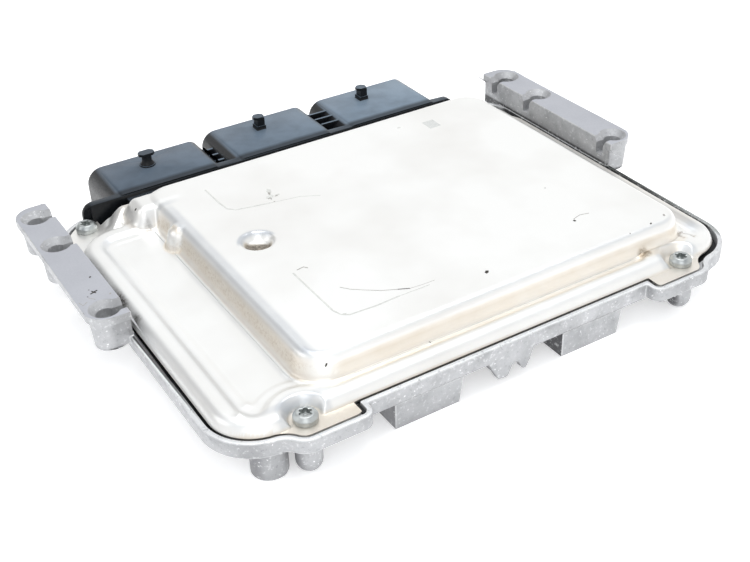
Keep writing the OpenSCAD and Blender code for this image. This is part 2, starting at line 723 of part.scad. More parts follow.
module left_bay_pins() { bay_pins(0); }
module middle_bay_pins() { bay_pins(1); }
module right_bay_pins() { bay_pins(2); }

// Sealant in the channel between the rim and the board's ledge, below the cover's skirt
module cover_seal() {
    color("dimgray") translate([0, 0, floor_z]) linear_extrude(skirt_low - floor_z) difference() {
        intersection() {
            union() {
                difference() {
                    rim_outline(rim_t + fit);
                    rounded(-cover_half + board_ledge - fit, cover_half - board_ledge + fit,
                        cover_front + board_ledge - fit, back, cover_r - board_ledge + fit);
                }
                for (place = front_screws) translate(place) circle(seal_ring_r);
            }
            translate([-half_w, front + rim_t + fit]) square([tray_w, bead_back - front - rim_t - fit]);
        }
        for (place = front_screws) translate(place) circle(screw_boss_r + fit);
    }
}

// Sealant between the trough's open back and the header's flange
module header_seal() {
    color("dimgray") difference() {
        block(trough_x0, trough_x1, trough_back, flange_y, shroud_low + 0.6, floor_z);
        block(trough_x0 + trough_wall, trough_x1 - trough_wall, trough_back - over, flange_y + over,
            trough_floor, floor_z + over);
    }
}

// Pan-head screw with a six-lobed socket
module screw(d, len, head_d, head_h) {
    lobe_ring = head_d * 0.19;
    difference() {
        union() {
            translate([0, 0, -len]) cylinder(h = len + bite, d = d);
            cylinder(h = head_h * 0.6, d = head_d);
            translate([0, 0, head_h * 0.6]) cylinder(h = head_h * 0.4, d1 = head_d, d2 = head_d * 0.72);
        }
        translate([0, 0, head_h * 0.4]) {
            cylinder(h = head_h, r = lobe_ring);
            for (a = [0:60:300]) rotate(a) translate([lobe_ring, 0, 0]) cylinder(h = head_h, r = head_d * 0.075);
        }
    }
}

module cover_screws() {
    color("lightgray") for (place = cover_screw_places)
        translate([place[0], place[1], ear_top_z])
            screw(cover_screw_d - fit, cover_screw_len, cover_head_d, cover_head_h);
}

module circuit_board() {
    color("darkgreen") difference() {
        plate(-board_w / 2, board_w / 2, board_front, board_back, board_corner_r, board_low, board_top);
        for (place = board_screw_places) post(place, board_screw_d / 2 + fit, 0, board_top + over);
        for (bay = [0:2], column = [0:bay_columns[bay] - 1], row = [0:3])
            translate([pin_x(bay, column) - pin_hole / 2, leg_y[row] - pin_gap / 2, 0])
                cube([pin_hole, pin_hole, board_top + over]);
    }
}

module board_screws() {
    color("gray") for (place = board_screw_places)
        translate([place[0], place[1], board_top]) screw(board_screw_d - fit, board_gap + board_t, board_head_d, board_head_h);
}

// A surface-mount package: a body with rows of flat leads on two or four sides
module package(size, leads, pitch, sides) {
    translate([-size[0] / 2, -size[1] / 2, 0]) cube(size);
    for (side = [0:sides - 1]) rotate(side * 360 / sides) {
        reach = (sides == 4 && side % 2 == 1) ? size[0] / 2 : size[1] / 2;
        for (k = [0:leads - 1])
            translate([(k - (leads - 1) / 2) * pitch - pitch / 4, reach - bite, 0])
                cube([pitch / 2, lead_out + bite, lead_t]);
    }
}

module on_board(place) {
    translate([place[0], board_front + place[1], board_top]) children();
}

module pad(place, size) {
    translate([place[0] - size[0] / 2, board_front + place[1] - size[1] / 2, floor_z])
        cube([size[0], size[1], board_gap]);
}

module thermal_pads() {
    color("lightsteelblue") {
        for (place = driver_places) pad(place, driver_pad);
        pad(transistor_pad_at, transistor_pad);
    }
}

module microcontroller() {
    color("#202024") on_board(processor_at) package([processor_w, processor_w, processor_h], 20, 1, 4);
}

module flash_memory() {
    color("#242428") on_board(memory_at) package(memory_size, 10, 1.1, 2);
}

module driver_chips() {
    color("#222226") for (place = driver_places) on_board(place) package(driver_size, 12, 1.2, 2);
}

module voltage_regulator() {
    color("#222226") on_board(regulator_at) package(regulator_size, 10, 1.2, 2);
}

// Power transistors: a body with a metal tab behind and two leads in front
module power_transistors() {
    color("#26262a") for (place = transistor_places) on_board(place) {
        translate([-transistor_size[0] / 2, -transistor_size[1] / 2, 0]) cube(transistor_size);
        translate([-transistor_tab[0] / 2, transistor_size[1] / 2 - bite, 0]) cube(transistor_tab);
        for (s = [-1, 1]) translate([(s * transistor_size[0] / 2 - transistor_lead[0]) / 2,
                -transistor_size[1] / 2 - transistor_lead[1] + bite, 0])
            cube(transistor_lead);
    }
}

// Lying cans with a crimped ring before their leads
module electrolytic_capacitors() {
    color("#3a4468") for (place = capacitor_places) on_board(place)
        translate([-capacitor_len / 2, 0, capacitor_d / 2]) rotate([0, 90, 0]) {
            cylinder(h = capacitor_len * 0.84, d = capacitor_d);
            cylinder(h = capacitor_len, d = capacitor_d - 0.7);
            translate([0, 0, capacitor_len * 0.9]) cylinder(h = capacitor_len * 0.1, d = capacitor_d);
            for (s = [-1, 1]) translate([capacitor_d / 2 - capacitor_lead[0], (s * capacitor_d / 3 - capacitor_lead[1]) / 2,
                capacitor_len - bite])
                cube(capacitor_lead);
        }
}

module boost_inductors() {
    color("#4a4a4e") for (place = inductor_places) on_board(place) {
        plate(-inductor_w / 2, inductor_w / 2, -inductor_w / 2, inductor_w / 2, 1.2, 0.3, inductor_h);
        translate([-inductor_w / 2 - 0.8, -inductor_w / 4, 0]) cube([inductor_w + 1.6, inductor_w / 2, 0.6]);
    }
}

// Crystal: a can on a flanged base
module crystal() {
    w = crystal_size[0] / 2;
    d = crystal_size[1] / 2;
    color("lightgray") on_board(crystal_at) {
        plate(-w, w, -d, d, d - 0.1, 0.2, crystal_size[2]);
        plate(-w - bite, w + bite, -d - bite, d + bite, d, 0, 0.6);
    }
}

module current_shunts() {
    color("#2c2c30") for (place = shunt_places) on_board(place)
        translate([-shunt_size[0] / 2, -shunt_size[1] / 2, 0]) cube(shunt_size);
}

module chip_capacitors() {
    color("tan") for (place = chip_places) on_board(place)
        translate([-chip_size[0] / 2, -chip_size[1] / 2, 0]) cube(chip_size);
}

tray();
cover();
connector_header();
left_bay_pins();
middle_bay_pins();
right_bay_pins();
cover_seal();
header_seal();
cover_screws();
circuit_board();
board_screws();
thermal_pads();
microcontroller();
flash_memory();
driver_chips();
voltage_regulator();
power_transistors();
electrolytic_capacitors();
boost_inductors();
crystal();
current_shunts();
chip_capacitors();
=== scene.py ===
import math

import bmesh
import bpy
import numpy as np
from mathutils import Matrix, Vector


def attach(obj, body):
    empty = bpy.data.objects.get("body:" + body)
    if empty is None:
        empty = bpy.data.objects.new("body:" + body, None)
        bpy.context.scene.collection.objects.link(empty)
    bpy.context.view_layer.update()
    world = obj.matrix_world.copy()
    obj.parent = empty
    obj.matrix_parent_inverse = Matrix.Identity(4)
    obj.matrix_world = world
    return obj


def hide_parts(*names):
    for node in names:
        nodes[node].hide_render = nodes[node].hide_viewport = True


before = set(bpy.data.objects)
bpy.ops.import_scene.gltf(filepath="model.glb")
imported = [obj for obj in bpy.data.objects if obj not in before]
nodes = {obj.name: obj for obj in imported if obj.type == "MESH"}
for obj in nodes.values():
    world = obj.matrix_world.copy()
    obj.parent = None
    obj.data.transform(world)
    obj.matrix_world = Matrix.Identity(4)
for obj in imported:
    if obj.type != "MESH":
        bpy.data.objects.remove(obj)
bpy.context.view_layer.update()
mm = 0.001
print("frame:", len(nodes), "CAD nodes")


def linear(hexText):  # sRGB hex to linear RGBA
    parts = [int(hexText[i:i + 2], 16) / 255 for i in (1, 3, 5)]
    return (*[v / 12.92 if v <= 0.04045 else ((v + 0.055) / 1.055) ** 2.4 for v in parts], 1.0)


def perMm(size):  # texture scale that gives a pattern of this size in mm
    return 1 / (size * mm)


def addNode(tree, kind, settings=None, links=None):  # one node, its settings and what feeds it
    node = tree.nodes.new(kind)
    for key, value in (settings or {}).items():
        if key == "stops":
            ramp = node.color_ramp
            ramp.elements[0].position, ramp.elements[0].color = value[0]
            ramp.elements[-1].position, ramp.elements[-1].color = value[-1]
            for place, colour in value[1:-1]:
                ramp.elements.new(place).color = colour
        elif isinstance(key, str) and hasattr(node, key):
            setattr(node, key, value)
        else:
            node.inputs[key].default_value = value
    for key, source in (links or {}).items():
        tree.links.new(source, node.inputs[key])
    return node


def newMaterial(name, constants):  # a material with its shader, output and object coordinates
    material = bpy.data.materials.new(name)
    material.use_nodes = True
    tree = material.node_tree
    tree.nodes.clear()
    shader = addNode(tree, "ShaderNodeBsdfPrincipled", constants)
    addNode(tree, "ShaderNodeOutputMaterial", {}, {"Surface": shader.outputs[0]})
    place = addNode(tree, "ShaderNodeTexCoord").outputs["Object"]
    return material, tree, shader, place


def addPiece(name, vertices, faces, material, smooth=True):  # vertices in mm
    mesh = bpy.data.meshes.new(name)
    mesh.from_pydata([tuple(float(v) * mm for v in p) for p in vertices], [], faces)
    mesh.update()
    piece = bpy.data.objects.new(name, mesh)
    bpy.context.scene.collection.objects.link(piece)
    mesh.materials.append(material)
    if smooth:
        mesh.shade_smooth()
    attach(piece, "root")
    return piece


# camera at the photograph's place, in mm and degrees
cameraSet = {
    "place": (-164.21, -275.32, 205.96), "lens": 55.30, "sensor": 36, "clip": (0.01, 20),
    "azimuth": -30.83, "elevation": 33.747, "roll": -2.017,
}


def makeCamera():
    az, el, roll = (math.radians(cameraSet[k]) for k in ("azimuth", "elevation", "roll"))
    level = Vector((math.cos(az), math.sin(az), 0))
    back = Vector((math.sin(az) * math.cos(el), -math.cos(az) * math.cos(el), math.sin(el)))
    right = math.cos(roll) * level + math.sin(roll) * back.cross(level)
    up = back.cross(right)
    data = bpy.data.cameras.new("camera")
    data.lens, data.sensor_width = cameraSet["lens"], cameraSet["sensor"]
    data.clip_start, data.clip_end = cameraSet["clip"]
    made = bpy.data.objects.new("camera", data)
    turn = Matrix((right, up, back)).transposed().to_4x4()
    made.matrix_world = Matrix.Translation(Vector(cameraSet["place"]) * mm) @ turn
    bpy.context.scene.collection.objects.link(made)
    bpy.context.scene.camera = made


makeCamera()
print("camera set")


def makePressedSheet():
    # Aluminium sheet, cold rolled and deep drawn: bright and satin, with a faint rolling grain and brown speckle where
    # the draw has scuffed the wall; the cream, tan and dark layers are partly grime and dirt and partly painted
    # reflection and painted shade, and the grey-blue layer is painted shade on the walls and bends that face away from
    # the light
    look = {"sheet": "#F6F6F4", "shade": "#EDECE9", "cream": "#F1E2CB", "brown": "#AD9A83", "dark": "#3E3832",
            "cool": "#C4C8CD", "tan": "#CBBDA8", "grain": 0.25, "along": 0.06, "cloud": 34, "patch": 7, "speckle": 0.9,
            "metallic": 0.85, "rough": (0.36, 0.42), "bump": (0.05, 0.02)}
    material, tree, shader, place = newMaterial("pressedAluminiumSheet", {"Metallic": look["metallic"]})
    cloud = addNode(tree, "ShaderNodeTexNoise", {"Scale": perMm(look["cloud"]), "Detail": 3.0}, {"Vector": place})
    patch = addNode(tree, "ShaderNodeTexNoise", {"Scale": perMm(look["patch"]), "Detail": 4.0}, {"Vector": place})
    speckle = addNode(tree, "ShaderNodeTexNoise", {"Scale": perMm(look["speckle"]), "Detail": 4.0, "Roughness": 0.7},
                      {"Vector": place})
    # rolling grain: noise stretched along the sheet's length; 0.25 mm is as fine as the render shows
    rolled = addNode(tree, "ShaderNodeMapping", {"Scale": (look["along"], 1.0, 1.0)}, {"Vector": place})
    grain = addNode(tree, "ShaderNodeTexNoise", {"Scale": perMm(look["grain"]), "Detail": 2.0},
                    {"Vector": rolled.outputs[0]})
    tone = addNode(tree, "ShaderNodeValToRGB", {"stops": [(0.3, linear(look["shade"])), (0.6, linear(look["sheet"]))]},
                   {"Fac": cloud.outputs["Fac"]}).outputs[0]
    # each stain or painted light: attribute with its places, noise that breaks it up, thresholds and colour
    stainsAndPaintedLight = (
        ("cool", patch, (0.25, 0.6, 0.7, 1.0), look["cool"]),
        ("warm", patch, (0.3, 0.65, 0.7, 1.0), look["cream"]),
        ("tan", patch, (0.3, 0.65, 0.75, 1.0), look["tan"]),
        ("scuff", speckle, (0.47, 0.62, 0.12, 1.0), look["brown"]),
        ("dirt", speckle, (0.35, 0.6, 0.55, 1.0), look["dark"]),
    )
    for name, noise, (low, high, least, most), colour in stainsAndPaintedLight:
        where = addNode(tree, "ShaderNodeAttribute", {"attribute_name": name}).outputs["Fac"]
        broken = addNode(tree, "ShaderNodeMapRange", {1: low, 2: high, 3: least, 4: most}, {0: noise.outputs["Fac"]})
        share = addNode(tree, "ShaderNodeMath", {"operation": "MULTIPLY"}, {0: where, 1: broken.outputs[0]})
        tone = addNode(tree, "ShaderNodeMix", {"data_type": "RGBA", 7: linear(colour)},
                       {0: share.outputs[0], 6: tone}).outputs[2]
    smooth, dull = look["rough"]
    rough = addNode(tree, "ShaderNodeMapRange", {1: 0.3, 2: 0.7, 3: smooth, 4: dull}, {0: grain.outputs["Fac"]})
    strength, height = look["bump"]
    bump = addNode(tree, "ShaderNodeBump", {"Strength": strength, "Distance": height * mm},
                   {"Height": grain.outputs["Fac"]})
    tree.links.new(tone, shader.inputs["Base Color"])
    tree.links.new(rough.outputs[0], shader.inputs["Roughness"])
    tree.links.new(bump.outputs[0], shader.inputs["Normal"])
    return material


# areas of the casting: colour, and soft steps by place in mm ("at") or by the way a face looks ("facing"), from and to
castAreas = {
    "top": ("#B8BAC1", (("at", "Z", 22.2, 22.6), ("facing", "Z", 0.8, 0.95))),
    # painted highlight: the rim's upward-facing top, lighter on the front and left
    "lip": ("#DFE0E1", (("at", "Z", 13.4, 13.7), ("at", "Z", 15.0, 14.6), ("facing", "Z", 0.5, 0.8),
                        ("at", "X", 86.0, 85.6))),
    # painted shade: darker lower down at the front
    "low": ("#98999B", (("at", "Z", 9.0, -6.0), ("at", "Y", 0.0, -1.0), ("at", "X", 20.0, 10.0))),
    # painted shade: the left-facing flanks of the foot blocks
    "dustSheenAndShade": ("#8A8A8D", (("at", "Z", 8.6, 8.0), ("at", "Y", -48.0, -52.0), ("facing", "X", -0.6, -0.9))),
    "shadow": ("#4E4E51", (("at", "Z", 8.6, 8.0), ("at", "X", 13.0, 15.0), ("facing", "X", -0.6, -0.9))),
    # painted shade: the right rail's inner face near its foot, in the gap by the cover
    "foot": ("#1F1F20", (("at", "X", 86.9, 87.3), ("at", "Z", 15.3, 14.6), ("facing", "X", -0.3, -0.8))),
    # the rim's top along the right, somewhat darker
    "rim": ("#A3A6A4", (("at", "X", 86.2, 86.6), ("at", "Y", 0.0, -10.0), ("at", "Z", 14.6, 14.3),
                        ("facing", "Z", 0.3, 0.7))),
}


def makeCastAluminium(name, light, mid, dark, pale, specks):
    # Aluminium, pressure die cast and tumbled: matt lavender grey with a sandy skin, pale dings and small
    # pores; the rails' ground tops are calmer. Painted shade darkens the lower front, the left flanks of the foot
    # blocks and the right rail's inner face near its foot, a painted highlight lightens the rim's upward-facing top,
    # and the rim's top along the right is somewhat darker
    look = {"grain": 0.55, "patch": 11, "ding": 1.5, "pore": 2.1, "speck": 1.5, "warp": 1.6, "metallic": 0.7,
            "areaStrength": 0.8, "darkDing": "#86878A", "fleck": "#F4F4F5", "hole": "#77787E",
            "rough": (0.44, 0.6), "bump": (0.3, 0.1)}
    material, tree, shader, place = newMaterial(name, {"Metallic": look["metallic"]})
    patch = addNode(tree, "ShaderNodeTexNoise", {"Scale": perMm(look["patch"]), "Detail": 5.0}, {"Vector": place})
    grain = addNode(tree, "ShaderNodeTexNoise", {"Scale": perMm(look["grain"]), "Detail": 3.0, "Roughness": 0.6},
                    {"Vector": place})
    ding = addNode(tree, "ShaderNodeTexNoise", {"Scale": perMm(look["ding"]), "Detail": 5.0, "Roughness": 0.72},
                   {"Vector": place})
    pore = addNode(tree, "ShaderNodeTexVoronoi", {"Scale": perMm(look["pore"])}, {"Vector": place})
    warp = addNode(tree, "ShaderNodeVectorMath", {"operation": "MULTIPLY_ADD", 1: (look["warp"] * mm,) * 3},
                   {0: ding.outputs["Color"], 2: place})  # no speck is quite round
    speck = addNode(tree, "ShaderNodeTexVoronoi", {"Scale": perMm(look["speck"])}, {"Vector": warp.outputs[0]})
    normal = addNode(tree, "ShaderNodeNewGeometry").outputs["Normal"]
    sources = {"at": addNode(tree, "ShaderNodeSeparateXYZ", {}, {0: place}).outputs,
               "facing": addNode(tree, "ShaderNodeSeparateXYZ", {}, {0: normal}).outputs}
    tone = addNode(tree, "ShaderNodeValToRGB",
                   {"stops": [(0.32, linear(dark)), (0.5, linear(mid)), (0.68, linear(light))]},
                   {"Fac": patch.outputs["Fac"]}).outputs[0]
    shares = {}
    for key, (colour, steps) in castAreas.items():
        share = None
        for kind, letter, start, end in steps:
            unit = mm if kind == "at" else 1
            step = addNode(tree, "ShaderNodeMapRange", {1: start * unit, 2: end * unit},
                           {0: sources[kind][letter]}).outputs[0]
            share = step if share is None else addNode(tree, "ShaderNodeMath", {"operation": "MULTIPLY"},
                                                       {0: share, 1: step}).outputs[0]
        shares[key] = share
        strength = addNode(tree, "ShaderNodeMath", {"operation": "MULTIPLY", 1: look["areaStrength"]}, {0: share})
        tone = addNode(tree, "ShaderNodeMix", {"data_type": "RGBA", 7: linear(colour)},
                       {0: strength.outputs[0], 6: tone}).outputs[2]
    calm = addNode(tree, "ShaderNodeMath", {"operation": "SUBTRACT", 0: 1.0}, {1: shares["top"]}).outputs[0]
    chosen = addNode(tree, "ShaderNodeSeparateColor", {}, {0: speck.outputs["Color"]}).outputs[0]
    some = addNode(tree, "ShaderNodeMapRange", {1: 0.62, 2: 0.64, 3: 0.0, 4: specks}, {0: chosen}).outputs[0]
    someCalm = addNode(tree, "ShaderNodeMath", {"operation": "MULTIPLY"}, {0: some, 1: calm}).outputs[0]
    # pale and dark dings, pale specks in some cells and grey pores, all missing on the ground tops: what feeds each,
    # from, to, its share at each end, where it is kept, colour
    flecks = (
        (ding.outputs["Fac"], 0.56, 0.68, 0.0, 0.8, calm, pale),
        (ding.outputs["Fac"], 0.42, 0.34, 0.0, 0.5, calm, look["darkDing"]),
        (speck.outputs["Distance"], 0.10, 0.17, 1.0, 0.0, someCalm, look["fleck"]),
        (pore.outputs["Distance"], 0.05, 0.12, 0.4, 0.0, calm, look["hole"]),
    )
    for source, start, end, low, high, where, colour in flecks:
        share = addNode(tree, "ShaderNodeMapRange", {1: start, 2: end, 3: low, 4: high}, {0: source})
        kept = addNode(tree, "ShaderNodeMath", {"operation": "MULTIPLY"}, {0: share.outputs[0], 1: where})
        tone = addNode(tree, "ShaderNodeMix", {"data_type": "RGBA", 7: linear(colour)},
                       {0: kept.outputs[0], 6: tone}).outputs[2]
    smooth, dull = look["rough"]
    rough = addNode(tree, "ShaderNodeMapRange", {1: 0.3, 2: 0.7, 3: smooth, 4: dull}, {0: grain.outputs["Fac"]})
    height = addNode(tree, "ShaderNodeMath", {"operation": "ADD"}, {0: grain.outputs["Fac"], 1: ding.outputs["Fac"]})
    strength, deep = look["bump"]
    bump = addNode(tree, "ShaderNodeBump", {"Strength": strength, "Distance": deep * mm}, {"Height": height.outputs[0]})
    tree.links.new(tone, shader.inputs["Base Color"])
    tree.links.new(rough.outputs[0], shader.inputs["Roughness"])
    tree.links.new(bump.outputs[0], shader.inputs["Normal"])
    return material


def makePlain(name, light, dark, size, rough, metallic=0.0, ior=1.5, bumpHeight=0.03):
    # two tones in a noise of a real size, with roughness and a fine bump that follow it
    constants = {"Metallic": metallic} if metallic > 0.5 else {"Metallic": metallic, "IOR": ior}
    material, tree, shader, place = newMaterial(name, constants)
    cloud = addNode(tree, "ShaderNodeTexNoise", {"Scale": perMm(size), "Detail": 4.0, "Roughness": 0.6},
                    {"Vector": place})
    tone = addNode(tree, "ShaderNodeValToRGB", {"stops": [(0.35, linear(dark)), (0.65, linear(light))]},
                   {"Fac": cloud.outputs["Fac"]})
    roughness = addNode(tree, "ShaderNodeMapRange", {1: 0.3, 2: 0.7, 3: rough - 0.06, 4: rough + 0.08},
                        {0: cloud.outputs["Fac"]})
    bump = addNode(tree, "ShaderNodeBump", {"Strength": 0.3, "Distance": bumpHeight * mm},
                   {"Height": cloud.outputs["Fac"]})
    tree.links.new(tone.outputs[0], shader.inputs["Base Color"])
    tree.links.new(roughness.outputs[0], shader.inputs["Roughness"])
    tree.links.new(bump.outputs[0], shader.inputs["Normal"])
    return material


def makeMouldedPlastic():
    # Glass-filled nylon, injection moulded: near black and satin; a blue-grey film on the upward faces is partly dust
    # and partly painted sheen
    look = {"light": "#14171B", "dark": "#0D0F12", "dustAndSheen": ("#4E5A67", "#616F7D", "#7A8A99"), "grain": 0.6, "dustSheenAndShade": 6,
            "ior": 1.53, "specular": 0.2, "rough": (0.3, 0.42)}
    material, tree, shader, place = newMaterial("mouldedGlassFilledNylon", {
        "Metallic": 0.0, "IOR": look["ior"], "Specular IOR Level": look["specular"]})
    grain = addNode(tree, "ShaderNodeTexNoise", {"Scale": perMm(look["grain"]), "Detail": 4.0}, {"Vector": place})
    dustSheenAndShade = addNode(tree, "ShaderNodeTexNoise", {"Scale": perMm(look["dustSheenAndShade"]), "Detail": 5.0}, {"Vector": place})
    tone = addNode(tree, "ShaderNodeValToRGB",
                   {"stops": [(0.35, linear(look["dark"])), (0.65, linear(look["light"]))]},
                   {"Fac": grain.outputs["Fac"]})
    axis = addNode(tree, "ShaderNodeSeparateXYZ", {}, {0: place}).outputs
    normal = addNode(tree, "ShaderNodeNewGeometry").outputs["Normal"]
    facing = addNode(tree, "ShaderNodeSeparateXYZ", {}, {0: normal}).outputs
    # the dust and painted sheen get lighter towards the right, thin out before the flange and on the knobs
    along = addNode(tree, "ShaderNodeMapRange", {1: -70 * mm, 2: 60 * mm, 3: 0.0, 4: 1.0}, {0: axis["X"]})
    dustAndSheen = addNode(tree, "ShaderNodeValToRGB", {"stops": [(k / 2, linear(look["dustAndSheen"][k])) for k in range(3)]},
                   {"Fac": along.outputs[0]})
    upward = addNode(tree, "ShaderNodeMapRange", {1: 0.86, 2: 0.995, 3: 0.0, 4: 1.0}, {0: facing["Z"]})
    patchy = addNode(tree, "ShaderNodeMapRange", {1: 0.3, 2: 0.6, 3: 0.8, 4: 1.0}, {0: dustSheenAndShade.outputs["Fac"]})
    behind = addNode(tree, "ShaderNodeMapRange", {1: 56 * mm, 2: 58 * mm, 3: 0.25, 4: 1.0}, {0: axis["Y"]})
    low = addNode(tree, "ShaderNodeMapRange", {1: 20.8 * mm, 2: 21.2 * mm, 3: 1.0, 4: 0.5}, {0: axis["Z"]})
    share = upward.outputs[0]
    for part in (patchy, behind, low):
        share = addNode(tree, "ShaderNodeMath", {"operation": "MULTIPLY"}, {0: share, 1: part.outputs[0]}).outputs[0]
    withDustAndSheen = addNode(tree, "ShaderNodeMix", {"data_type": "RGBA"}, {0: share, 6: tone.outputs[0], 7: dustAndSheen.outputs[0]})
    smooth, dull = look["rough"]
    rough = addNode(tree, "ShaderNodeMapRange", {1: 0.3, 2: 0.7, 3: smooth, 4: dull}, {0: grain.outputs["Fac"]})
    bump = addNode(tree, "ShaderNodeBump", {"Strength": 0.25, "Distance": 0.02 * mm}, {"Height": grain.outputs["Fac"]})
    tree.links.new(withDustAndSheen.outputs[2], shader.inputs["Base Color"])
    tree.links.new(rough.outputs[0], shader.inputs["Roughness"])
    tree.links.new(bump.outputs[0], shader.inputs["Normal"])
    return material


pressedSheet = makePressedSheet()
castAluminium = makeCastAluminium("dieCastAluminium", "#BFC0C2", "#B3B4B6", "#A0A1A3", "#DCDDDE", 0.8)
wornEdge = makeCastAluminium("rubbedCastEdge", "#D3D4D5", "#C9CACB", "#B9BABC", "#EAEAEB", 0.6)
mouldedPlastic = makeMouldedPlastic()
# cold-headed steel, zinc plated: cool grey with a soft gloss
zincSteel = makePlain("zincPlatedSteel", "#C2C6C5", "#AEB2B2", 2.4, 0.36, 1.0, bumpHeight=0.01)
# oily dust that has dried: nearly black and dull
driedGrime = makePlain("driedGrime", "#4A4641", "#2E2A27", 0.5, 0.8, ior=1.45)
# acrylic gum left at a sticker's edge: a pale grey line, duller than the sheet; the same grey draws the painted shade
# in the front crease
gumAndCreaseShadeLine = makePlain("labelGumAndCreaseShade", "#D2D3CF", "#C2C3BF", 1.5, 0.7, ior=1.47)
# dust rubbed into fine scratches: grey and dull
smearedDust = makePlain("smearedDust", "#B0AEA9", "#928F8A", 0.4, 0.7, ior=1.45)
# aluminium roughened by a laser: a shade darker than the sheet, without its gloss
etchedMetal = makePlain("laserEtchedMetal", "#DEDFDD", "#C9CBC9", 0.5, 0.6, 0.7)
# brass strip, stamped and tinned: warm silver
tinnedBrass = makePlain("tinnedBrassPin", "#D9D2BE", "#B7AE98", 1.2, 0.3, 1.0)
# silicone rubber, cured in place: black and satin
siliconeBead = makePlain("curedSiliconeBead", "#19191B", "#111112", 1.5, 0.6, ior=1.43)
# glass and epoxy board under solder mask: deep green with a soft gloss
boardLaminate = makePlain("solderMaskedLaminate", "#1F5A35", "#174629", 0.8, 0.35, ior=1.55)
# silicone filled with ceramic, cut from sheet: grey blue and chalky
thermalPad = makePlain("filledSiliconePad", "#A9B4C6", "#919CAF", 0.9, 0.75, ior=1.43)
# epoxy, transfer moulded: charcoal with a fine matt grain
chipEpoxy = makePlain("mouldedChipEpoxy", "#28282B", "#1C1C1F", 0.35, 0.55, ior=1.55)
# PVC film, shrunk over a can: dark blue and smooth
pvcSleeve = makePlain("shrunkPvcSleeve", "#3A4468", "#2E3654", 3.0, 0.35, ior=1.53)
# ferrite powder, pressed and fired: dull dark grey
pressedFerrite = makePlain("pressedFerrite", "#4C4C50", "#39393D", 0.5, 0.7, ior=2.0)
# nickel-plated steel, drawn: bright warm grey
nickelCan = makePlain("drawnNickelCan", "#CFCFCB", "#B5B5B1", 2.0, 0.25, 1.0)
# barium titanate ceramic, fired: tan and eggshell dull
firedCeramic = makePlain("firedChipCeramic", "#B89C74", "#9D8560", 0.4, 0.5, ior=1.7)
print("materials made")


edges = {"smoothBelow": 32, "roundAbove": 35, "segments": 2}  # angles in degrees


def makeSmoothGroup():  # flat faces stay flat, curved ones are shaded smooth
    group = bpy.data.node_groups.new("smoothCurves", "GeometryNodeTree")
    group.interface.new_socket("Geometry", in_out="INPUT", socket_type="NodeSocketGeometry")
    group.interface.new_socket("Geometry", in_out="OUTPUT", socket_type="NodeSocketGeometry")
    start = addNode(group, "NodeGroupInput")
    angle = addNode(group, "GeometryNodeInputMeshEdgeAngle")
    gentle = addNode(group, "FunctionNodeCompare", {"operation": "LESS_THAN", 1: math.radians(edges["smoothBelow"])},
                     {0: angle.outputs[0]})
    faces = addNode(group, "GeometryNodeSetShadeSmooth", {"domain": "FACE"}, {0: start.outputs[0]})
    bends = addNode(group, "GeometryNodeSetShadeSmooth", {"domain": "EDGE"},
                    {0: faces.outputs[0], "Shade Smooth": gentle.outputs[0]})
    addNode(group, "NodeGroupOutput", {}, {0: bends.outputs[0]})
    return group


def makeEdgeGroup(name, ways):  # marks the edges to be rounded: sharp ones, outside small features
    group = bpy.data.node_groups.new(name, "GeometryNodeTree")
    group.interface.new_socket("Geometry", in_out="INPUT", socket_type="NodeSocketGeometry")
    group.interface.new_socket("Geometry", in_out="OUTPUT", socket_type="NodeSocketGeometry")
    start = addNode(group, "NodeGroupInput")
    angle = addNode(group, "GeometryNodeInputMeshEdgeAngle")
    weight = addNode(group, "ShaderNodeMath", {"operation": "GREATER_THAN", 1: math.radians(edges["roundAbove"])},
                     {0: angle.outputs[0]})
    place = addNode(group, "GeometryNodeInputPosition").outputs[0]
    axis = addNode(group, "ShaderNodeSeparateXYZ", {}, {0: place}).outputs
    side = addNode(group, "ShaderNodeMath", {"operation": "ABSOLUTE"}, {0: axis["X"]})
    plan = addNode(group, "ShaderNodeCombineXYZ", {}, {0: side.outputs[0], 1: axis["Y"]})
    for x, y, reach, low, high in ways:  # upright cylinders in mm that keep their edges
        away = addNode(group, "ShaderNodeVectorMath", {"operation": "DISTANCE", 1: (x * mm, y * mm, 0)},
                       {0: plan.outputs[0]})
        parts = [addNode(group, "ShaderNodeMath", {"operation": test, 1: limit * mm}, {0: source})
                 for test, limit, source in (("GREATER_THAN", reach, away.outputs["Value"]),
                                             ("LESS_THAN", low, axis["Z"]), ("GREATER_THAN", high, axis["Z"]))]
        kept = parts[0]
        for part in parts[1:]:
            kept = addNode(group, "ShaderNodeMath", {"operation": "MAXIMUM"}, {0: kept.outputs[0], 1: part.outputs[0]})
        weight = addNode(group, "ShaderNodeMath", {"operation": "MULTIPLY"}, {0: weight.outputs[0], 1: kept.outputs[0]})
    stored = addNode(group, "GeometryNodeStoreNamedAttribute", {"data_type": "FLOAT", "domain": "EDGE",
                     "Name": "bevel_weight_edge"}, {0: start.outputs[0], "Value": weight.outputs[0]})
    addNode(group, "NodeGroupOutput", {}, {0: stored.outputs[0]})
    return group


smoothCurves = makeSmoothGroup()
# upright cylinders (x either side, y, reach, low, high) round screw bosses, mounting holes and locking knobs
edgeGroups = {
    "tray": makeEdgeGroup("trayEdges", [(65.0, -72.2, 4.4, -1, 9.2)] +
                          [(93.4, y, 6.4, 16.0, 24.0) for y in (51.9, 32.4, -8.7)]),
    "connector_header": makeEdgeGroup("headerEdges", [(0, 70, 90, 20.5, 30)]),
    "cover_screws": makeEdgeGroup("screwEdges", []),
}

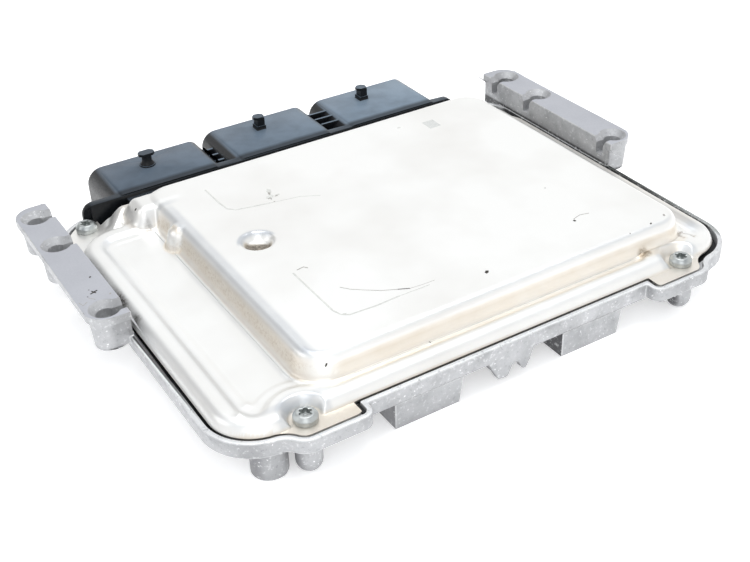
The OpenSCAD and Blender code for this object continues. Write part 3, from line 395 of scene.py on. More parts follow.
# node: materials, rounding of its edges in mm (0 leaves them sharp)
finishes = {
    "tray": ([castAluminium, wornEdge], 0.4),
    "connector_header": ([mouldedPlastic], 0.25),
    "left_bay_pins": ([tinnedBrass], 0.0),
    "middle_bay_pins": ([tinnedBrass], 0.0),
    "right_bay_pins": ([tinnedBrass], 0.0),
    "cover_seal": ([siliconeBead], 0.0),
    "header_seal": ([siliconeBead], 0.0),
    "cover_screws": ([zincSteel], 0.16),
    "circuit_board": ([boardLaminate], 0.0),
    "board_screws": ([zincSteel], 0.0),
    "thermal_pads": ([thermalPad], 0.0),
    "microcontroller": ([chipEpoxy], 0.0),
    "flash_memory": ([chipEpoxy], 0.0),
    "driver_chips": ([chipEpoxy], 0.0),
    "voltage_regulator": ([chipEpoxy], 0.0),
    "power_transistors": ([chipEpoxy], 0.0),
    "electrolytic_capacitors": ([pvcSleeve], 0.0),
    "boost_inductors": ([pressedFerrite], 0.0),
    "crystal": ([nickelCan], 0.0),
    "current_shunts": ([firedCeramic], 0.0),
    "chip_capacitors": ([firedCeramic], 0.0),
}


def finishNode(name, materials, rounding):
    node = nodes[name]
    node.data.materials.clear()
    for material in materials:
        node.data.materials.append(material)
    weld = node.modifiers.new("weld", "WELD")
    weld.merge_threshold = 0.03 * mm if rounding else 0.002 * mm
    if rounding:
        marks = node.modifiers.new("edges", "NODES")
        marks.node_group = edgeGroups[name]
        bevel = node.modifiers.new("rounding", "BEVEL")
        bevel.width, bevel.segments = rounding * mm, edges["segments"]
        bevel.limit_method, bevel.use_clamp_overlap = "WEIGHT", False
        bevel.miter_outer = "MITER_ARC"
        if len(materials) > 1:
            bevel.material = 1
    smooth = node.modifiers.new("smoothCurves", "NODES")
    smooth.node_group = smoothCurves


for name, (materials, rounding) in finishes.items():
    finishNode(name, materials, rounding)
print("CAD nodes finished")


# cover: a pressed sheet, drawn as a height over the ground plan. Boxes are (x0, x1, y0, y1), a wall is (angle, crown,
# fillet), and "melt" is the width of the soft seam to what lies below; mm and degrees
cover = {
    "half": 86.6, "front": -73.1, "back": 55.9, "corner": 13.6, "flat": 13.7, "sheet": 1.2,
    "skirt": 12.0, "skirtIn": 0.5, "skirtBelow": 0.6, "rightGap": 0.8, "rightGapFrom": (66, 72),
    "beadTop": 17.0, "beadBack": 43.3, "beadWall": (66, 3.6, 0.3),
    "beadRightSink": 1.3, "beadRightFrom": (70, 80), "beadRightIn": (0.4, 3.0),
    "panel": (-79.6, 79.6, -67.7, 36.3), "panelCorner": 6.0, "panelSink": (1.0, 0.2), "panelSlope": (-1.0, 1.4),
    "panelStep": (3.2, 4.2), "panelAround": 10.2, "panelMelt": 3.0, "panelTop": 16.0,
    "plateau": (-60.2, 76.4, -65.1, 50.3), "plateauCorner": 10.0, "plateauTop": 23.0, "plateauWall": (74, 3.0, 1.5),
    "plateauMelt": 0.5,
    "lobe": (-67.2, -45.0, 34.3, 50.3), "lobeCorner": 5.0, "lobeTop": 22.6, "lobeWall": (62, 3.4, 1.0), "lobeMelt": 1.8,
    "land": (-74.2, -45.0, 41.0, 62.0), "landCorner": 2.0, "landTop": 18.6, "landWall": (32, 3.0, 2.0), "landMelt": 0.4,
    "landDent": ((-69.6, 51.0), (-72.0, 47.4), 0.4, 0.9),
    "dome": (-57.7, 21.0, 18.5), "domeRadius": 4.4, "domeFoot": 0.5, "domeSteep": 4.0, "domeMelt": 0.9,
    "pit": (-41.6, -1.3), "pitDepth": 2.4, "pitFloor": 3.2, "pitLip": 5.7,
    "screws": ((-65.0, -72.2), (65.0, -72.2), (-78.4, 50.5), (78.4, 50.5)), "hole": 2.2,
    "seat": 4.5, "seatTop": 60.0, "seatWall": (60, 1.0, 0.7), "seatMelt": 1.2,
    "ear": (51.3, 66.29, -77.9), "earCorner": 1.0, "earOut": (66.29, -74.3), "earOutRadius": 3.62,
    "earIn": (76.06, -81.27), "earInRadius": 8.4, "earTangent": 74.89,
    "backCut": (-73.8, 66.0, 50.3), "flangeCut": (-77.8, 70.2, 53.5),
    "pips": ((-79.6, -64.6, 1.2, 0.5), (74.6, -65.0, 2.3, 1.0), (55.9, -65.9, 1.9, 0.7), (-76.0, -61.2, 1.2, 0.3)),
    "pipBelow": (19.5, 17.0), "wave": 0.03, "waveIn": (2.0, 8.0),
    "finest": 0.28, "fine": 0.5, "coarse": 1.6, "finestX": (-62.0, -53.0), "finestY": (-67.0, -61.0),
    "fineX": ((-87.0, -54.0), (-49.0, -34.0), (49.0, 87.0)),
    "fineY": ((-79.0, -57.0), (-9.0, 7.0), (14.0, 27.0), (30.0, 57.0)),
    "margin": 0.3, "probe": 0.01, "pulls": 4,
}


def roundBox(x, y, box, r):  # distance inside a round-cornered box, negative outside it
    x0, x1, y0, y1 = box
    qx = np.abs(x - (x0 + x1) / 2) - (x1 - x0) / 2 + r
    qy = np.abs(y - (y0 + y1) / 2) - (y1 - y0) / 2 + r
    return r - np.hypot(np.maximum(qx, 0), np.maximum(qy, 0)) - np.minimum(np.maximum(qx, qy), 0)


def wall(d, foot, top, angle, crown, fillet):  # pressed wall: fillet at its foot, lean, round crown
    a = math.radians(angle)
    footStart = -fillet * math.tan(a / 2)
    footEnd = footStart + fillet * math.sin(a)
    crownEnd = crown * math.sin(a) + (top - crown + crown * math.cos(a) - foot) / math.tan(a)
    crownStart = crownEnd - crown * math.sin(a)
    z = np.where(d < footStart, foot, foot + d * math.tan(a))
    low = foot + fillet - np.sqrt(np.maximum(fillet ** 2 - (d - footStart) ** 2, 0))
    high = top - crown + np.sqrt(np.maximum(crown ** 2 - (crownEnd - d) ** 2, 0))
    z = np.where((d >= footStart) & (d < footEnd), low, z)
    z = np.where((d >= crownStart) & (d < crownEnd), high, z)
    return np.where(d >= crownEnd, top, z)


def melt(a, b, k):  # the larger of two, with a soft seam
    h = np.clip(0.5 + 0.5 * (a - b) / k, 0, 1)
    return b + (a - b) * h + k * h * (1 - h)


def ease(low, high, d):
    t = np.clip((d - low) / (high - low), 0, 1)
    return t * t * (3 - 2 * t)


def beadInset(x, y):  # distance inside the bead's edge; the sheet stops short of the rim on the right
    c = cover
    box = (-c["half"], c["half"], c["front"], c["beadBack"])
    return roundBox(x, y, box, c["corner"]) - c["rightGap"] * ease(*c["rightGapFrom"], x)


def coverOutline(x, y):  # distance inside the sheet's outline
    c = cover
    ax = np.abs(x)
    d = roundBox(x, y, (-c["half"], c["half"], c["front"], c["back"]), c["corner"])
    x0, x1, y0 = c["ear"]
    d = np.maximum(d, roundBox(ax, y, (x0, x1, y0, -60.0), c["earCorner"]))
    (ox, oy), (ix, iy) = c["earOut"], c["earIn"]
    d = np.maximum(d, c["earOutRadius"] - np.hypot(ax - ox, y - oy))
    beyond = (y - oy) * (ix - ox) - (ax - ox) * (iy - oy) > 0
    flow = np.hypot(ax - ix, y - iy) - c["earInRadius"]
    d = np.maximum(d, np.where(beyond & (ax > ox) & (ax < c["earTangent"]) & (y < -66), flow, -9))
    d = d - c["rightGap"] * ease(*c["rightGapFrom"], x)
    for left, right, start in (c["backCut"], c["flangeCut"]):
        d = np.minimum(d, -np.minimum(np.minimum(x - left, right - x), y - start))
    for sx, sy in c["screws"]:
        d = np.minimum(d, np.hypot(x - sx, y - sy) - c["hole"])
    return d


def coverHeight(x, y):
    c = cover
    bead = beadInset(x, y)
    z = wall(bead, c["flat"], c["beadTop"], *c["beadWall"])
    z = z - c["beadRightSink"] * ease(*c["beadRightFrom"], x) * ease(*c["beadRightIn"], bead)
    panel = roundBox(x, y, c["panel"], c["panelCorner"])
    for sx, sy in c["screws"][:2]:
        panel = -melt(-panel, c["panelAround"] - np.hypot(x - sx, y - sy), c["panelMelt"])
    for sink, reach in zip(c["panelSink"], (c["panelSlope"], c["panelStep"])):
        z = z - sink * ease(*reach, panel)
    landIn = roundBox(x, y, c["land"], c["landCorner"])
    land = wall(landIn, c["flat"], c["landTop"], *c["landWall"])
    (ax, ay), (bx, by), deep, wide = c["landDent"]
    part = np.clip(((x - ax) * (bx - ax) + (y - ay) * (by - ay)) / ((bx - ax) ** 2 + (by - ay) ** 2), 0, 1)
    away = (x - ax - part * (bx - ax)) ** 2 + (y - ay - part * (by - ay)) ** 2
    land = land - deep * np.exp(-away / wide ** 2)
    z = melt(z, np.where(landIn < -0.5, 0, land), c["landMelt"])
    plateauIn = roundBox(x, y, c["plateau"], c["plateauCorner"])
    plateau = wall(plateauIn, c["panelTop"], c["plateauTop"], *c["plateauWall"])
    z = melt(z, np.where(plateauIn < -1.5, 0, plateau), c["plateauMelt"])
    lobeIn = roundBox(x, y, c["lobe"], c["lobeCorner"])
    lobe = wall(lobeIn, c["panelTop"], c["lobeTop"], *c["lobeWall"])
    z = melt(z, np.where(lobeIn < -1.4, 0, lobe), c["lobeMelt"])
    dx, dy, dz = c["dome"]
    radius = np.hypot(x - dx, y - dy)
    ball = dz + np.sqrt(np.maximum(c["domeRadius"] ** 2 - radius ** 2, 0))
    side = c["panelTop"] + (c["domeRadius"] + c["domeFoot"] - radius) * c["domeSteep"]
    z = melt(z, np.where(radius > c["domeRadius"] + 1.5, 0, np.minimum(ball, side)), c["domeMelt"])
    for sx, sy in c["screws"][:2]:
        r = np.hypot(x - sx, y - sy)
        carve = wall(r - c["seat"], c["flat"], c["seatTop"], *c["seatWall"])
        z = np.where(z > c["flat"] + 0.05, -melt(-z, -carve, c["seatMelt"]), z)
        z = np.where(r < c["seat"] - 0.3, c["flat"], z)
    px, py = c["pit"]
    z = z - c["pitDepth"] * (1 - ease(c["pitFloor"], c["pitLip"], np.hypot(x - px, y - py)))
    # pips of the press tool at the foot of the front wall and in the panel's corner
    for bx, by, size, rise in c["pips"]:
        z = z + rise * np.exp(-((x - bx) ** 2 + (y - by) ** 2) / size ** 2) * ease(*c["pipBelow"], z)
    # the drawn sheet is never quite flat
    wave = np.sin(x * 0.11 + 0.7) * np.sin(y * 0.13 + 1.1) + 0.6 * np.sin(x * 0.27 + y * 0.19)
    return z + c["wave"] * wave * ease(*c["waveIn"], bead)


def gridLines(low, high, bands, finest):
    lines = [low]
    while lines[-1] < high:
        fine = any(a <= lines[-1] <= b for a, b in bands)
        step = "finest" if finest[0] <= lines[-1] <= finest[1] else "fine" if fine else "coarse"
        lines.append(lines[-1] + cover[step])
    return np.array(lines)


def towardsSheet(x, y):  # which way the outline lies, as a slope
    h = cover["probe"]
    gx = (coverOutline(x + h, y) - coverOutline(x - h, y)) / (2 * h)
    gy = (coverOutline(x, y + h) - coverOutline(x, y - h)) / (2 * h)
    return gx, gy


def makeCover():
    c = cover
    edge = c["margin"]
    xs = gridLines(-c["half"] - edge, c["half"] + edge, c["fineX"], c["finestX"])
    ys = gridLines(c["ear"][2] - edge, c["back"] + edge, c["fineY"], c["finestY"])
    x, y = (a.copy() for a in np.meshgrid(xs, ys, indexing="ij"))
    inside = coverOutline(x, y) > edge
    quads = inside[:-1, :-1] | inside[1:, :-1] | inside[1:, 1:] | inside[:-1, 1:]
    for _ in range(c["pulls"]):  # bring the outer points on to the outline
        d = coverOutline(x, y)
        gx, gy = towardsSheet(x, y)
        steep = np.maximum(np.hypot(gx, gy), 0.3) ** 2
        x = np.where(inside, x, x - d * gx / steep)
        y = np.where(inside, y, y - d * gy / steep)
    z = coverHeight(x, y)
    index = np.arange(x.size).reshape(x.shape)
    i, j = np.nonzero(quads)
    faces = np.stack([index[i, j], index[i + 1, j], index[i + 1, j + 1], index[i, j + 1]], 1)
    used = np.unique(faces)
    renumber = np.full(x.size, -1)
    renumber[used] = np.arange(len(used))
    faces = renumber[faces]
    points = np.stack([x.ravel()[used], y.ravel()[used], z.ravel()[used]], 1)
    # the skirt goes down inside the rim, and by the sheet's thickness at the flat seats
    ways = {(a, b) for quad in faces.tolist() for a, b in zip(quad, quad[1:] + quad[:1])}
    rim = [(a, b) for a, b in ways if (b, a) not in ways]
    lower = {a: len(points) + k for k, a in enumerate(sorted({v for way in rim for v in way}))}
    skirt = points[sorted(lower)]
    low = skirt[:, 2] < c["flat"] + c["skirtBelow"]
    skirt[:, 2] = np.where(low, skirt[:, 2] - c["sheet"] + 0.05, c["skirt"])
    gx, gy = towardsSheet(skirt[:, 0], skirt[:, 1])
    lean = c["skirtIn"] / np.maximum(np.hypot(gx, gy), 1e-4)
    skirt[:, 0], skirt[:, 1] = skirt[:, 0] + gx * lean, skirt[:, 1] + gy * lean
    walls = [[b, a, lower[a], lower[b]] for a, b in rim]
    piece = addPiece("pressedCover", np.concatenate([points, skirt]), faces.tolist() + walls,
                     pressedSheet)
    mesh = bmesh.new()
    mesh.from_mesh(piece.data)
    bmesh.ops.dissolve_degenerate(mesh, dist=0.02 * mm, edges=mesh.edges[:])
    mesh.to_mesh(piece.data)
    mesh.free()
    return piece


# stains and painted light on the cover. An area is a product of soft steps (field, from, to); a layer is a sum of areas
# (strength, area), some of them only along a line (middle, half width) at a distance from the plateau's edge; mm
paint = {
    "areas": {
        "front": (("y", -58, -62), ("x", -55, -48), ("x", 76, 70)),
        "left": (("x", -53, -55), ("y", -64, -56), ("y", 38, 30)),
        "cleanDome": (("dome", 6.5, 3.8), ("z", 22.4, 21.0)),
        "domeRing": (("dome", 3.6, 4.4), ("dome", 5.6, 4.8), ("x", -57.7, -59.7)),
        "domeFoot": (("dome", 4.2, 4.9), ("dome", 6.2, 5.3), ("z", 18.5, 17.0)),
        "leftEar": (("y", -66, -70), ("z", 14.4, 13.9), ("z", 13.0, 13.4), ("x", 1, -1)),
        "rightEar": (("y", -66, -70), ("z", 14.4, 13.9), ("z", 13.0, 13.4), ("x", -1, 1)),
        "seats": (("y", 42, 45), ("z", 14.4, 13.9), ("z", 13.0, 13.4)),
        "recess": (("screw", 4.4, 5.2), ("screw", 8.4, 6.8), ("z", 13.9, 14.4)),
        "lobeFoot": (("lobeEdge", 1.4, 0.2), ("z", 20.5, 19.0)),
        "lobeSpot": (("lobeCorner", 2.0, 0.6),),
        "turn": (("x", -47, -53), ("y", -54, -58)),
        "slope": (("panelEdge", 1.8, 0.4), ("x", -50, -56)),
        "crown": (("bead", 0.0, 0.6), ("bead", 4.0, 2.0), ("y", 40, 30), ("x", -76, -80)),
        "roll": (("bead", 0.4, 1.0), ("bead", 4.6, 3.0), ("y", 40, 30), ("x", 78, 81), ("y", -64, -56)),
        "inner": (("x", 78.5, 80.0), ("x", 84.0, 82.6), ("y", 36, 28), ("y", -66, -58)),
        "rightSide": (("x", 74, 77), ("y", 36, 28), ("y", -62, -56)),
        # the pit: painted shade along its back rim and over its floor, darkest on the near side
        "pitRim": (("pit", 4.2, 5.0), ("pit", 6.8, 5.8), ("pitBack", -0.5, 2.0)),
        "pitFloor": (("pitAcross", 2.4, 0.8), ("pit", 4.8, 3.8)),
        "pitDark": (("pitAcross", 2.4, 0.6), ("pit", 4.4, 3.4)),
        "bump": (("bump", 2.8, 1.4), ("z", 19.0, 17.4)),
        "bumpRub": (("bump", 2.6, 1.2), ("z", 19.0, 17.4)),
        "bumpDark": (("bump", 2.4, 1.2), ("z", 19.0, 17.4)),
        "pipRing": (("pip", 1.5, 2.2), ("pip", 3.8, 2.8), ("y", -67.5, -65.0)),
        "pipDark": (("pip", 1.5, 2.2), ("pip", 3.4, 2.6), ("y", -66.5, -64.5)),
        "railSide": (("x", -83.2, -85.2),),
        "railRun": (("x", -83.2, -85.2), ("y", -10, 0), ("y", 36, 20)),
    },
    "stainsAndPaintedLight": {
        # painted shade: grey-blue on the walls, bead slopes, bends and screw recesses that face away from the light,
        # and the pit's back rim
        "cool": ((0.3, "front", 3.0, 0.7), (0.55, "left", 4.0, 3.2), (0.3, "left", -1.5, 2.0), (0.55, "turn", 3.6, 1.4),
                 (0.4, "slope"), (0.2, "crown"), (0.5, "recess"), (1.0, "inner"), (0.95, "pitRim")),
        # cream: grime on the left wall, ears, seats and the dome's foot, and painted reflection low on the front wall
        "warm": ((0.45, "front", 0.2, 0.7), (0.4, "front", -2.0, 1.9), (0.35, "left", 0.6, 1.8),
                 (0.3, "rightSide", -4.0, 3.0), (0.2, "leftEar"), (0.2, "rightEar"), (0.1, "seats"), (0.6, "domeFoot")),
        # tan: grime on the ears, the bump, the lobe's foot, the left wall and the right bead, and painted shade in the
        # band under the front crown, along the front crease and over the pit's floor
        "tan": ((0.7, "front", 0.95, 0.5), (0.5, "front", -0.45, 0.4), (0.3, "left", 1.0, 1.1),
                (0.35, "left", -0.6, 0.5), (0.45, "turn", -0.4, 1.2), (0.54, "leftEar"), (0.34, "rightEar"),
                (0.6, "bump"), (0.3, "lobeFoot"), (0.3, "roll"), (0.9, "pitFloor")),
        "scuff": ((0.35, "left", 0.9, 0.7), (0.2, "lobeFoot"), (0.25, "domeRing"), (0.9, "bumpRub"), (0.8, "pipRing")),
        # dark: dirt on the bump, pips and lobe, painted shade on the near part of the pit's floor and along the front
        # crease, and darker beside the left rail
        "dirt": ((0.1, "front", -0.45, 0.35), (0.85, "pitDark"), (0.3, "bumpDark"), (0.35, "pipDark"),
                 (0.5, "lobeSpot"), (0.3, "railRun")),
    },
    "lineCore": 0.3,  # share of a line's half width that is full
    # the way of the view in plan, which sets the near side of the pit's painted shade
    "view": (0.51, 0.86), "lobeSpot": (-63.0, 35.0),
    "railSpots": ((2.5, 4.5, 0.8), (-9.4, 2.4, 0.9)),  # y, spread, strength
}


def paintCover(piece):  # one attribute for each stain or painted light layer
    c = cover
    flat = np.zeros(len(piece.data.vertices) * 3)
    piece.data.vertices.foreach_get("co", flat)
    x, y, z = (flat.reshape(-1, 3) / mm).T
    px, py = c["pit"]
    across = paint["view"][0] * (x - px) + paint["view"][1] * (y - py)
    fields = {
        "x": x, "y": y, "z": z, "bead": beadInset(x, y),
        "panelEdge": np.abs(roundBox(x, y, c["panel"], c["panelCorner"]) - 0.3),
        "lobeEdge": np.abs(roundBox(x, y, c["lobe"], c["lobeCorner"]) + 0.2),
        "screw": np.minimum(*(np.hypot(x - sx, y - sy) for sx, sy in c["screws"][:2])),
        "pitAcross": across, "pitBack": across - 0.5 * (x - px),
    }
    for name, (sx, sy) in {"dome": c["dome"][:2], "pit": c["pit"], "pip": c["pips"][1][:2], "bump": c["pips"][2][:2],
                           "lobeCorner": paint["lobeSpot"]}.items():
        fields[name] = np.hypot(x - sx, y - sy)
    areas = {}
    for name, steps in paint["areas"].items():
        areas[name] = np.prod([ease(low, high, fields[field]) for field, low, high in steps], axis=0)
    areas["left"] = areas["left"] * (1 - areas["cleanDome"])
    plateau = roundBox(x, y, c["plateau"], c["plateauCorner"])
    for paintLayer, parts in paint["stainsAndPaintedLight"].items():
        value = np.zeros(len(x))
        for strength, area, *line in parts:
            share = strength * areas[area]
            if line:
                share = share * ease(line[1], paint["lineCore"] * line[1], np.abs(plateau - line[0]))
            value = value + share
        if paintLayer == "dirt":  # darker between the bead and the left rail
            for middle, spread, strength in paint["railSpots"]:
                value = value + strength * areas["railSide"] * np.exp(-((y - middle) / spread) ** 2)
        layer = piece.data.attributes.new(paintLayer, "FLOAT", "POINT")
        layer.data.foreach_set("value", np.clip(value, 0, 1).astype(np.float32))


pressedCover = makeCover()
paintCover(pressedCover)
thick = pressedCover.modifiers.new("sheet", "SOLIDIFY")
thick.thickness, thick.offset, thick.use_rim = cover["sheet"] * mm, -1.0, True
pressedCover.modifiers.new("smoothCurves", "NODES").node_group = smoothCurves
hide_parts("cover")
print("cover pressed:", len(pressedCover.data.vertices), "points")


# marks of use on the cover and the left rail, and one line of painted shade in the front crease, as thin flakes that
# lie
# on the surface: lines with their width, and spots (x, y, size, stretch along Y); places in mm
marks = {
    "gumAndCreaseShade": (gumAndCreaseShadeLine, "pressed_sheet", [
        ([(-41.3, -23.2), (-41.3, -35.0), (-41.2, -46.0), (-40.4, -48.9), (-38.2, -50.3), (-30.0, -50.8),
          (-22.0, -50.4)], 0.55),
        # the straight line at y -65.55 is painted shade along the crease at the front wall's foot; the other lines are
        # gum
        ([(-22.0, -50.4), (-12.0, -50.5)], 0.25), ([(-49.0 + 10 * k, -65.55) for k in range(11)], 0.3),
        ([(-41.4, 36.8), (-41.3, 26.0), (-40.7, 21.4), (-38.9, 19.4), (-33.0, 18.0), (-27.8, 16.9)], 0.55),
        ([(-27.8, 16.9), (-18.0, 15.2), (-12.0, 12.0)], 0.2)],
        [(-24.6, 24.0, 1.0, 1.8), (-26.0, 20.6, 1.4, 1.0), (-23.4, 20.4, 0.9, 0.6), (-39.4, -49.2, 0.7, 0.6),
         (35.2, 38.4, 0.9, 0.5)]),
    "smears": (smearedDust, "pressed_sheet", [
        ([(-33.8, -37.2), (-32.0, -39.6), (-29.3, -41.9), (-25.0, -45.2), (-20.8, -47.3)], 0.2),
        ([(-17.6, -48.9), (-13.6, -49.3), (-9.5, -49.4)], 0.1),
        ([(44.0, -47.0), (45.0, -45.6), (48.0, -44.8), (51.0, -45.6)], 0.22),
        ([(-39.6, -22.4), (-37.2, -22.0), (-36.4, -23.2)], 0.35)],
        [(-25.2, 22.6, 0.5, 2.0), (-26.4, 19.8, 0.8, 0.7), (-24.0, 19.9, 0.5, 0.5), (-26.2, 17.0, 0.35, 0.6),
         (49.9, -25.5, 0.35, 0.6), (53.3, -61.7, 0.3, 0.8), (69.0, -59.6, 0.5, 1.2)]),
    "grime": (driedGrime, "pressed_sheet", [
        ([(-20.8, -47.3), (-19.4, -48.0), (-17.6, -48.9)], 0.32)],
        [(5.2, -54.4, 0.85, 0.9), (-53.4, -63.2, 0.6, 0.6), (-64.3, 40.8, 0.5, 1.0), (-22.2, -65.6, 0.3, 1.0),
         (44.4, -46.6, 0.6, 0.7), (-26.3, 19.0, 0.3, 0.6), (62.3, -61.0, 0.5, 0.7)]),
    "railMarks": (driedGrime, "cast_aluminium", [
        ([(-94.3, 0.3), (-93.2, 0.7), (-91.9, 1.2)], 0.45), ([(-93.5, 1.6), (-92.7, 0.0)], 0.4)],
        [(-91.2, 8.9, 0.4, 1.0), (-93.9, 2.6, 0.2, 1.0), (-95.4, -0.6, 0.2, 1.0)]),
    "railScores": (smearedDust, "cast_aluminium", [
        ([(-98.6, -2.2), (-98.0, -4.0), (-96.4, -3.0)], 0.22), ([(-95.4, -1.2), (-94.0, -3.0)], 0.18)],
        [(-89.4, -2.6, 0.4, 1.0)]),
}
flake = {"railTop": 22.8, "strokeLevels": (0.03, -0.1), "spotLevels": (0.05, -0.15), "corners": 14, "probe": 0.2}


def sheetHeight(x, y):
    return float(coverHeight(np.array([x]), np.array([y]))[0])


def addMarks(name, material, slot, strokes, spots):
    vertices, faces = [], []

    def height(x, y):  # the rail's ground top, or the pressed sheet
        return flake["railTop"] if slot == "cast_aluminium" else sheetHeight(x, y)

    high, low = flake["strokeLevels"]
    for line, width in strokes:
        start = len(vertices)
        for k, (x, y) in enumerate(line):
            (ax, ay), (bx, by) = line[max(k - 1, 0)], line[min(k + 1, len(line) - 1)]
            run = math.hypot(bx - ax, by - ay)
            sx, sy = -(by - ay) / run * width / 2, (bx - ax) / run * width / 2
            for side, lift in ((1, high), (-1, high), (-1, low), (1, low)):
                vertices.append((x + side * sx, y + side * sy, height(x, y) + lift))
        for k in range(len(line) - 1):
            a = start + 4 * k
            faces += [(a + i, a + (i + 1) % 4, a + 4 + (i + 1) % 4, a + 4 + i) for i in range(4)]
        faces += [(start + 3, start + 2, start + 1, start), tuple(len(vertices) - 4 + i for i in range(4))]
    count, h = flake["corners"], flake["probe"]
    for k, (x, y, size, stretch) in enumerate(spots):  # each lies in the surface's own slope
        start = len(vertices)
        gx, gy = (height(x + h, y) - height(x - h, y)) / (2 * h), (height(x, y + h) - height(x, y - h)) / (2 * h)
        normal = Vector((-gx, -gy, 1)).normalized()
        along = Vector((1, 0, gx)).normalized()
        up = normal.cross(along)
        middle = Vector((x, y, height(x, y)))
        for lift in flake["spotLevels"]:
            for i in range(count):
                a = 2 * math.pi * i / count
                r = size * (0.82 + 0.2 * math.sin(2 * a + k) + 0.12 * math.sin(5 * a + 2.3 * k))
                vertices.append(middle + r * math.cos(a) * along + stretch * r * math.sin(a) * up + lift * normal)
        faces += [tuple(range(start, start + count)), tuple(range(start + 2 * count - 1, start + count - 1, -1))]
        faces += [(start + i, start + count + i, start + count + (i + 1) % count, start + (i + 1) % count)
                  for i in range(count)]
    addPiece(name, vertices, faces, material, smooth=False)


for name, (material, slot, strokes, spots) in marks.items():
    addMarks(name, material, slot, strokes, spots)


def addBox(name, x, y, z, material):  # spans in mm
    (x0, x1), (y0, y1), (z0, z1) = x, y, z
    corners = [(px, py, pz) for pz in (z1, z0) for px, py in ((x0, y0), (x1, y0), (x1, y1), (x0, y1))]
    faces = [(0, 1, 2, 3), (7, 6, 5, 4), (0, 4, 5, 1), (1, 5, 6, 2), (2, 6, 7, 3), (3, 7, 4, 0)]
    addPiece(name, corners, faces, material, smooth=False)


# a plain etched patch on the plateau, near the header
patch = {"x": (44.0, 48.6), "y": (31.4, 37.0), "middle": (46.0, 34.0), "rise": 0.02, "sink": 0.3}
patchTop = sheetHeight(*patch["middle"])
addBox("etchedPatch", patch["x"], patch["y"], (patchTop - patch["sink"], patchTop + patch["rise"]),
       etchedMetal)

# rounded ends of the screw bosses, below the ears
boss = {"places": ((-66.2, -75.0), (63.6, -74.4)), "radius": 3.7, "low": 0.1, "high": 10.0, "steps": 32, "rings": 10}


def addBoss(name, x, y):
    r, steps, rings = boss["radius"], boss["steps"], boss["rings"]
    levels = [(r, boss["high"])] + [(r * math.cos(a), boss["low"] + r - r * math.sin(a))
                                    for a in (math.pi / 2 * k / rings for k in range(rings))]
    vertices = [(x + ring * math.cos(2 * math.pi * i / steps), y + ring * math.sin(2 * math.pi * i / steps), z)
                for ring, z in levels for i in range(steps)]
    faces = [(k * steps + i, (k + 1) * steps + i, (k + 1) * steps + (i + 1) % steps, k * steps + (i + 1) % steps)
             for k in range(len(levels) - 1) for i in range(steps)]
    last = (len(levels) - 1) * steps
    vertices.append((x, y, boss["low"]))
    faces += [(last + i, len(vertices) - 1, last + (i + 1) % steps) for i in range(steps)]
    faces.append(tuple(range(steps)))
    addPiece(name, vertices, faces, castAluminium)


for side, (x, y) in zip(("left", "right"), boss["places"]):
    addBoss(side + "BossEnd", x, y)

# cast lug and web between the foot blocks: outline (x, z) in the front wall's plane, and its reach in y
lug = {
    "outline": [(-9.9, 10.4), (-8.7, 7.9), (-6.1, 3.0), (-5.6, 2.2), (-2.9, 1.8), (-2.2, 2.2), (-0.7, 5.4), (0.2, 5.8),
                (1.3, 5.5), (2.3, 3.3), (2.9, 2.5), (4.0, 2.3), (4.5, 3.0), (6.9, 9.1), (7.3, 10.4)],
    "y": (-75.4, -73.2), "rounding": 0.3,
}
count = len(lug["outline"])
frontLug = addPiece("frontLug", [(x, y, z) for y in lug["y"] for x, z in lug["outline"]],
                    [tuple(range(count)), tuple(range(2 * count - 1, count - 1, -1))] +
                    [(i, i + count, (i + 1) % count + count, (i + 1) % count) for i in range(count)],
                    castAluminium, smooth=False)
worn = frontLug.modifiers.new("rounding", "BEVEL")
worn.width, worn.segments, worn.limit_method = lug["rounding"] * mm, edges["segments"], "ANGLE"

# a black piece of painted shade in the gap at the inner end of each ear, in the seal's black rubber
notch = {"x": (50.1, 51.25), "y": (-77.6, -73.4), "z": (12.4, 13.0)}
for side, sign in (("Left", -1), ("Right", 1)):
    addBox("earNotchShade" + side, sorted(sign * v for v in notch["x"]), notch["y"], notch["z"], siliconeBead)
print("marks of use added")


studio = {
    "floorHalf": 30, "floor": ("#F8F8F8", "#FCFCFC"), "floorCloud": 300, "floorGlow": 0.35,
    "sky": [(0.0, "#FFFFFF"), (0.55, "#FFFFFF"), (0.72, "#DDE1E6"), (0.84, "#D3D8DE"), (0.95, "#F9F9F9")],
    # a dark flag behind the left of the set gives the left-hand curves their grey: its way, soft edge and light
    "flag": (-0.60, 0.68, 0.42), "flagEdge": (0.72, 0.93), "flagLight": 0.45,
    "panels": (  # name, place in m, size in m, power
        ("frontPanel", (-0.5, -0.9, 0.9), 0.8, 2.6),
        ("sidePanel", (-0.9, 0.4, 0.7), 0.6, 1.6),
        ("topPanel", (0.1, 0.1, 1.1), 0.7, 5.0),
    ),
}


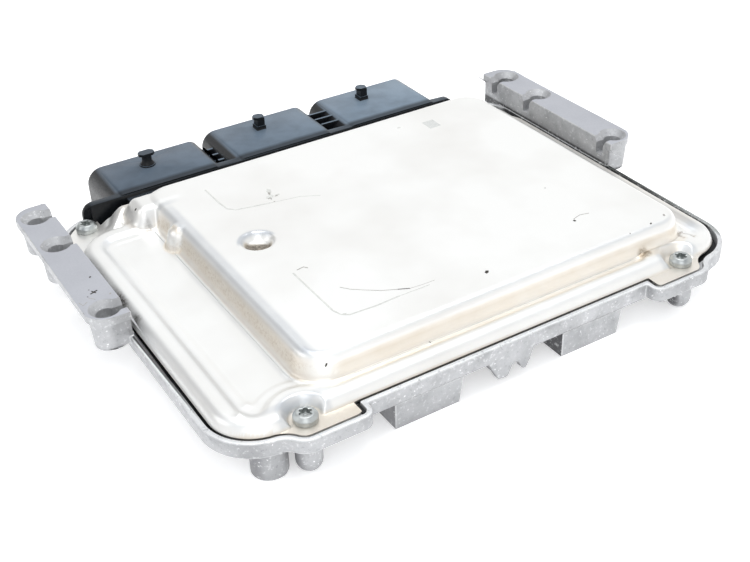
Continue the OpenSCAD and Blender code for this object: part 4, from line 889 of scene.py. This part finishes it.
def makeStage():
    # Acrylic sheet, cast and lit from below: white and dull, with next to no shade of its own
    material, tree, shader, place = newMaterial("litWhiteAcrylic", {
        "Roughness": 0.9, "IOR": 1.49, "Emission Color": linear("#FFFFFF"), "Emission Strength": studio["floorGlow"]})
    cloud = addNode(tree, "ShaderNodeTexNoise", {"Scale": perMm(studio["floorCloud"])}, {"Vector": place})
    dark, light = (linear(colour) for colour in studio["floor"])
    tone = addNode(tree, "ShaderNodeValToRGB", {"stops": [(0.3, dark), (0.7, light)]}, {"Fac": cloud.outputs["Fac"]})
    tree.links.new(tone.outputs[0], shader.inputs["Base Color"])
    mesh = bpy.data.meshes.new("floor")
    half = studio["floorHalf"]
    mesh.from_pydata([(-half, -half, 0), (half, -half, 0), (half, half, 0), (-half, half, 0)], [], [(0, 1, 2, 3)])
    mesh.materials.append(material)
    floor = bpy.data.objects.new("floor", mesh)
    bpy.context.scene.collection.objects.link(floor)


def makeLight():
    world = bpy.data.worlds.new("studio")
    world.use_nodes = True
    bpy.context.scene.world = world
    tree = world.node_tree
    tree.nodes.clear()
    way = addNode(tree, "ShaderNodeTexCoord").outputs["Generated"]
    height = addNode(tree, "ShaderNodeSeparateXYZ", {}, {0: way}).outputs["Z"]
    sky = addNode(tree, "ShaderNodeValToRGB", {"stops": [(at, linear(colour)) for at, colour in studio["sky"]]},
                  {"Fac": height})
    toFlag = addNode(tree, "ShaderNodeVectorMath", {"operation": "DOT_PRODUCT", 1: studio["flag"]}, {0: way})
    start, end = studio["flagEdge"]
    flag = addNode(tree, "ShaderNodeMapRange", {1: start, 2: end, 3: 1.0, 4: studio["flagLight"]},
                   {0: toFlag.outputs["Value"]})
    shade = addNode(tree, "ShaderNodeBackground", {}, {"Color": sky.outputs[0], "Strength": flag.outputs[0]})
    addNode(tree, "ShaderNodeOutputWorld", {}, {"Surface": shade.outputs[0]})
    for name, spot, size, power in studio["panels"]:
        data = bpy.data.lights.new(name, "AREA")
        data.shape, data.size, data.energy = "SQUARE", size, power
        lamp = bpy.data.objects.new(name, data)
        lamp.location = spot
        lamp.rotation_mode = "QUATERNION"
        lamp.rotation_quaternion = (Vector((0, 0, 0)) - Vector(spot)).to_track_quat("-Z", "Y")
        bpy.context.scene.collection.objects.link(lamp)


makeStage()
makeLight()
bpy.context.scene.view_settings.view_transform = "Standard"
print("stage and light set")
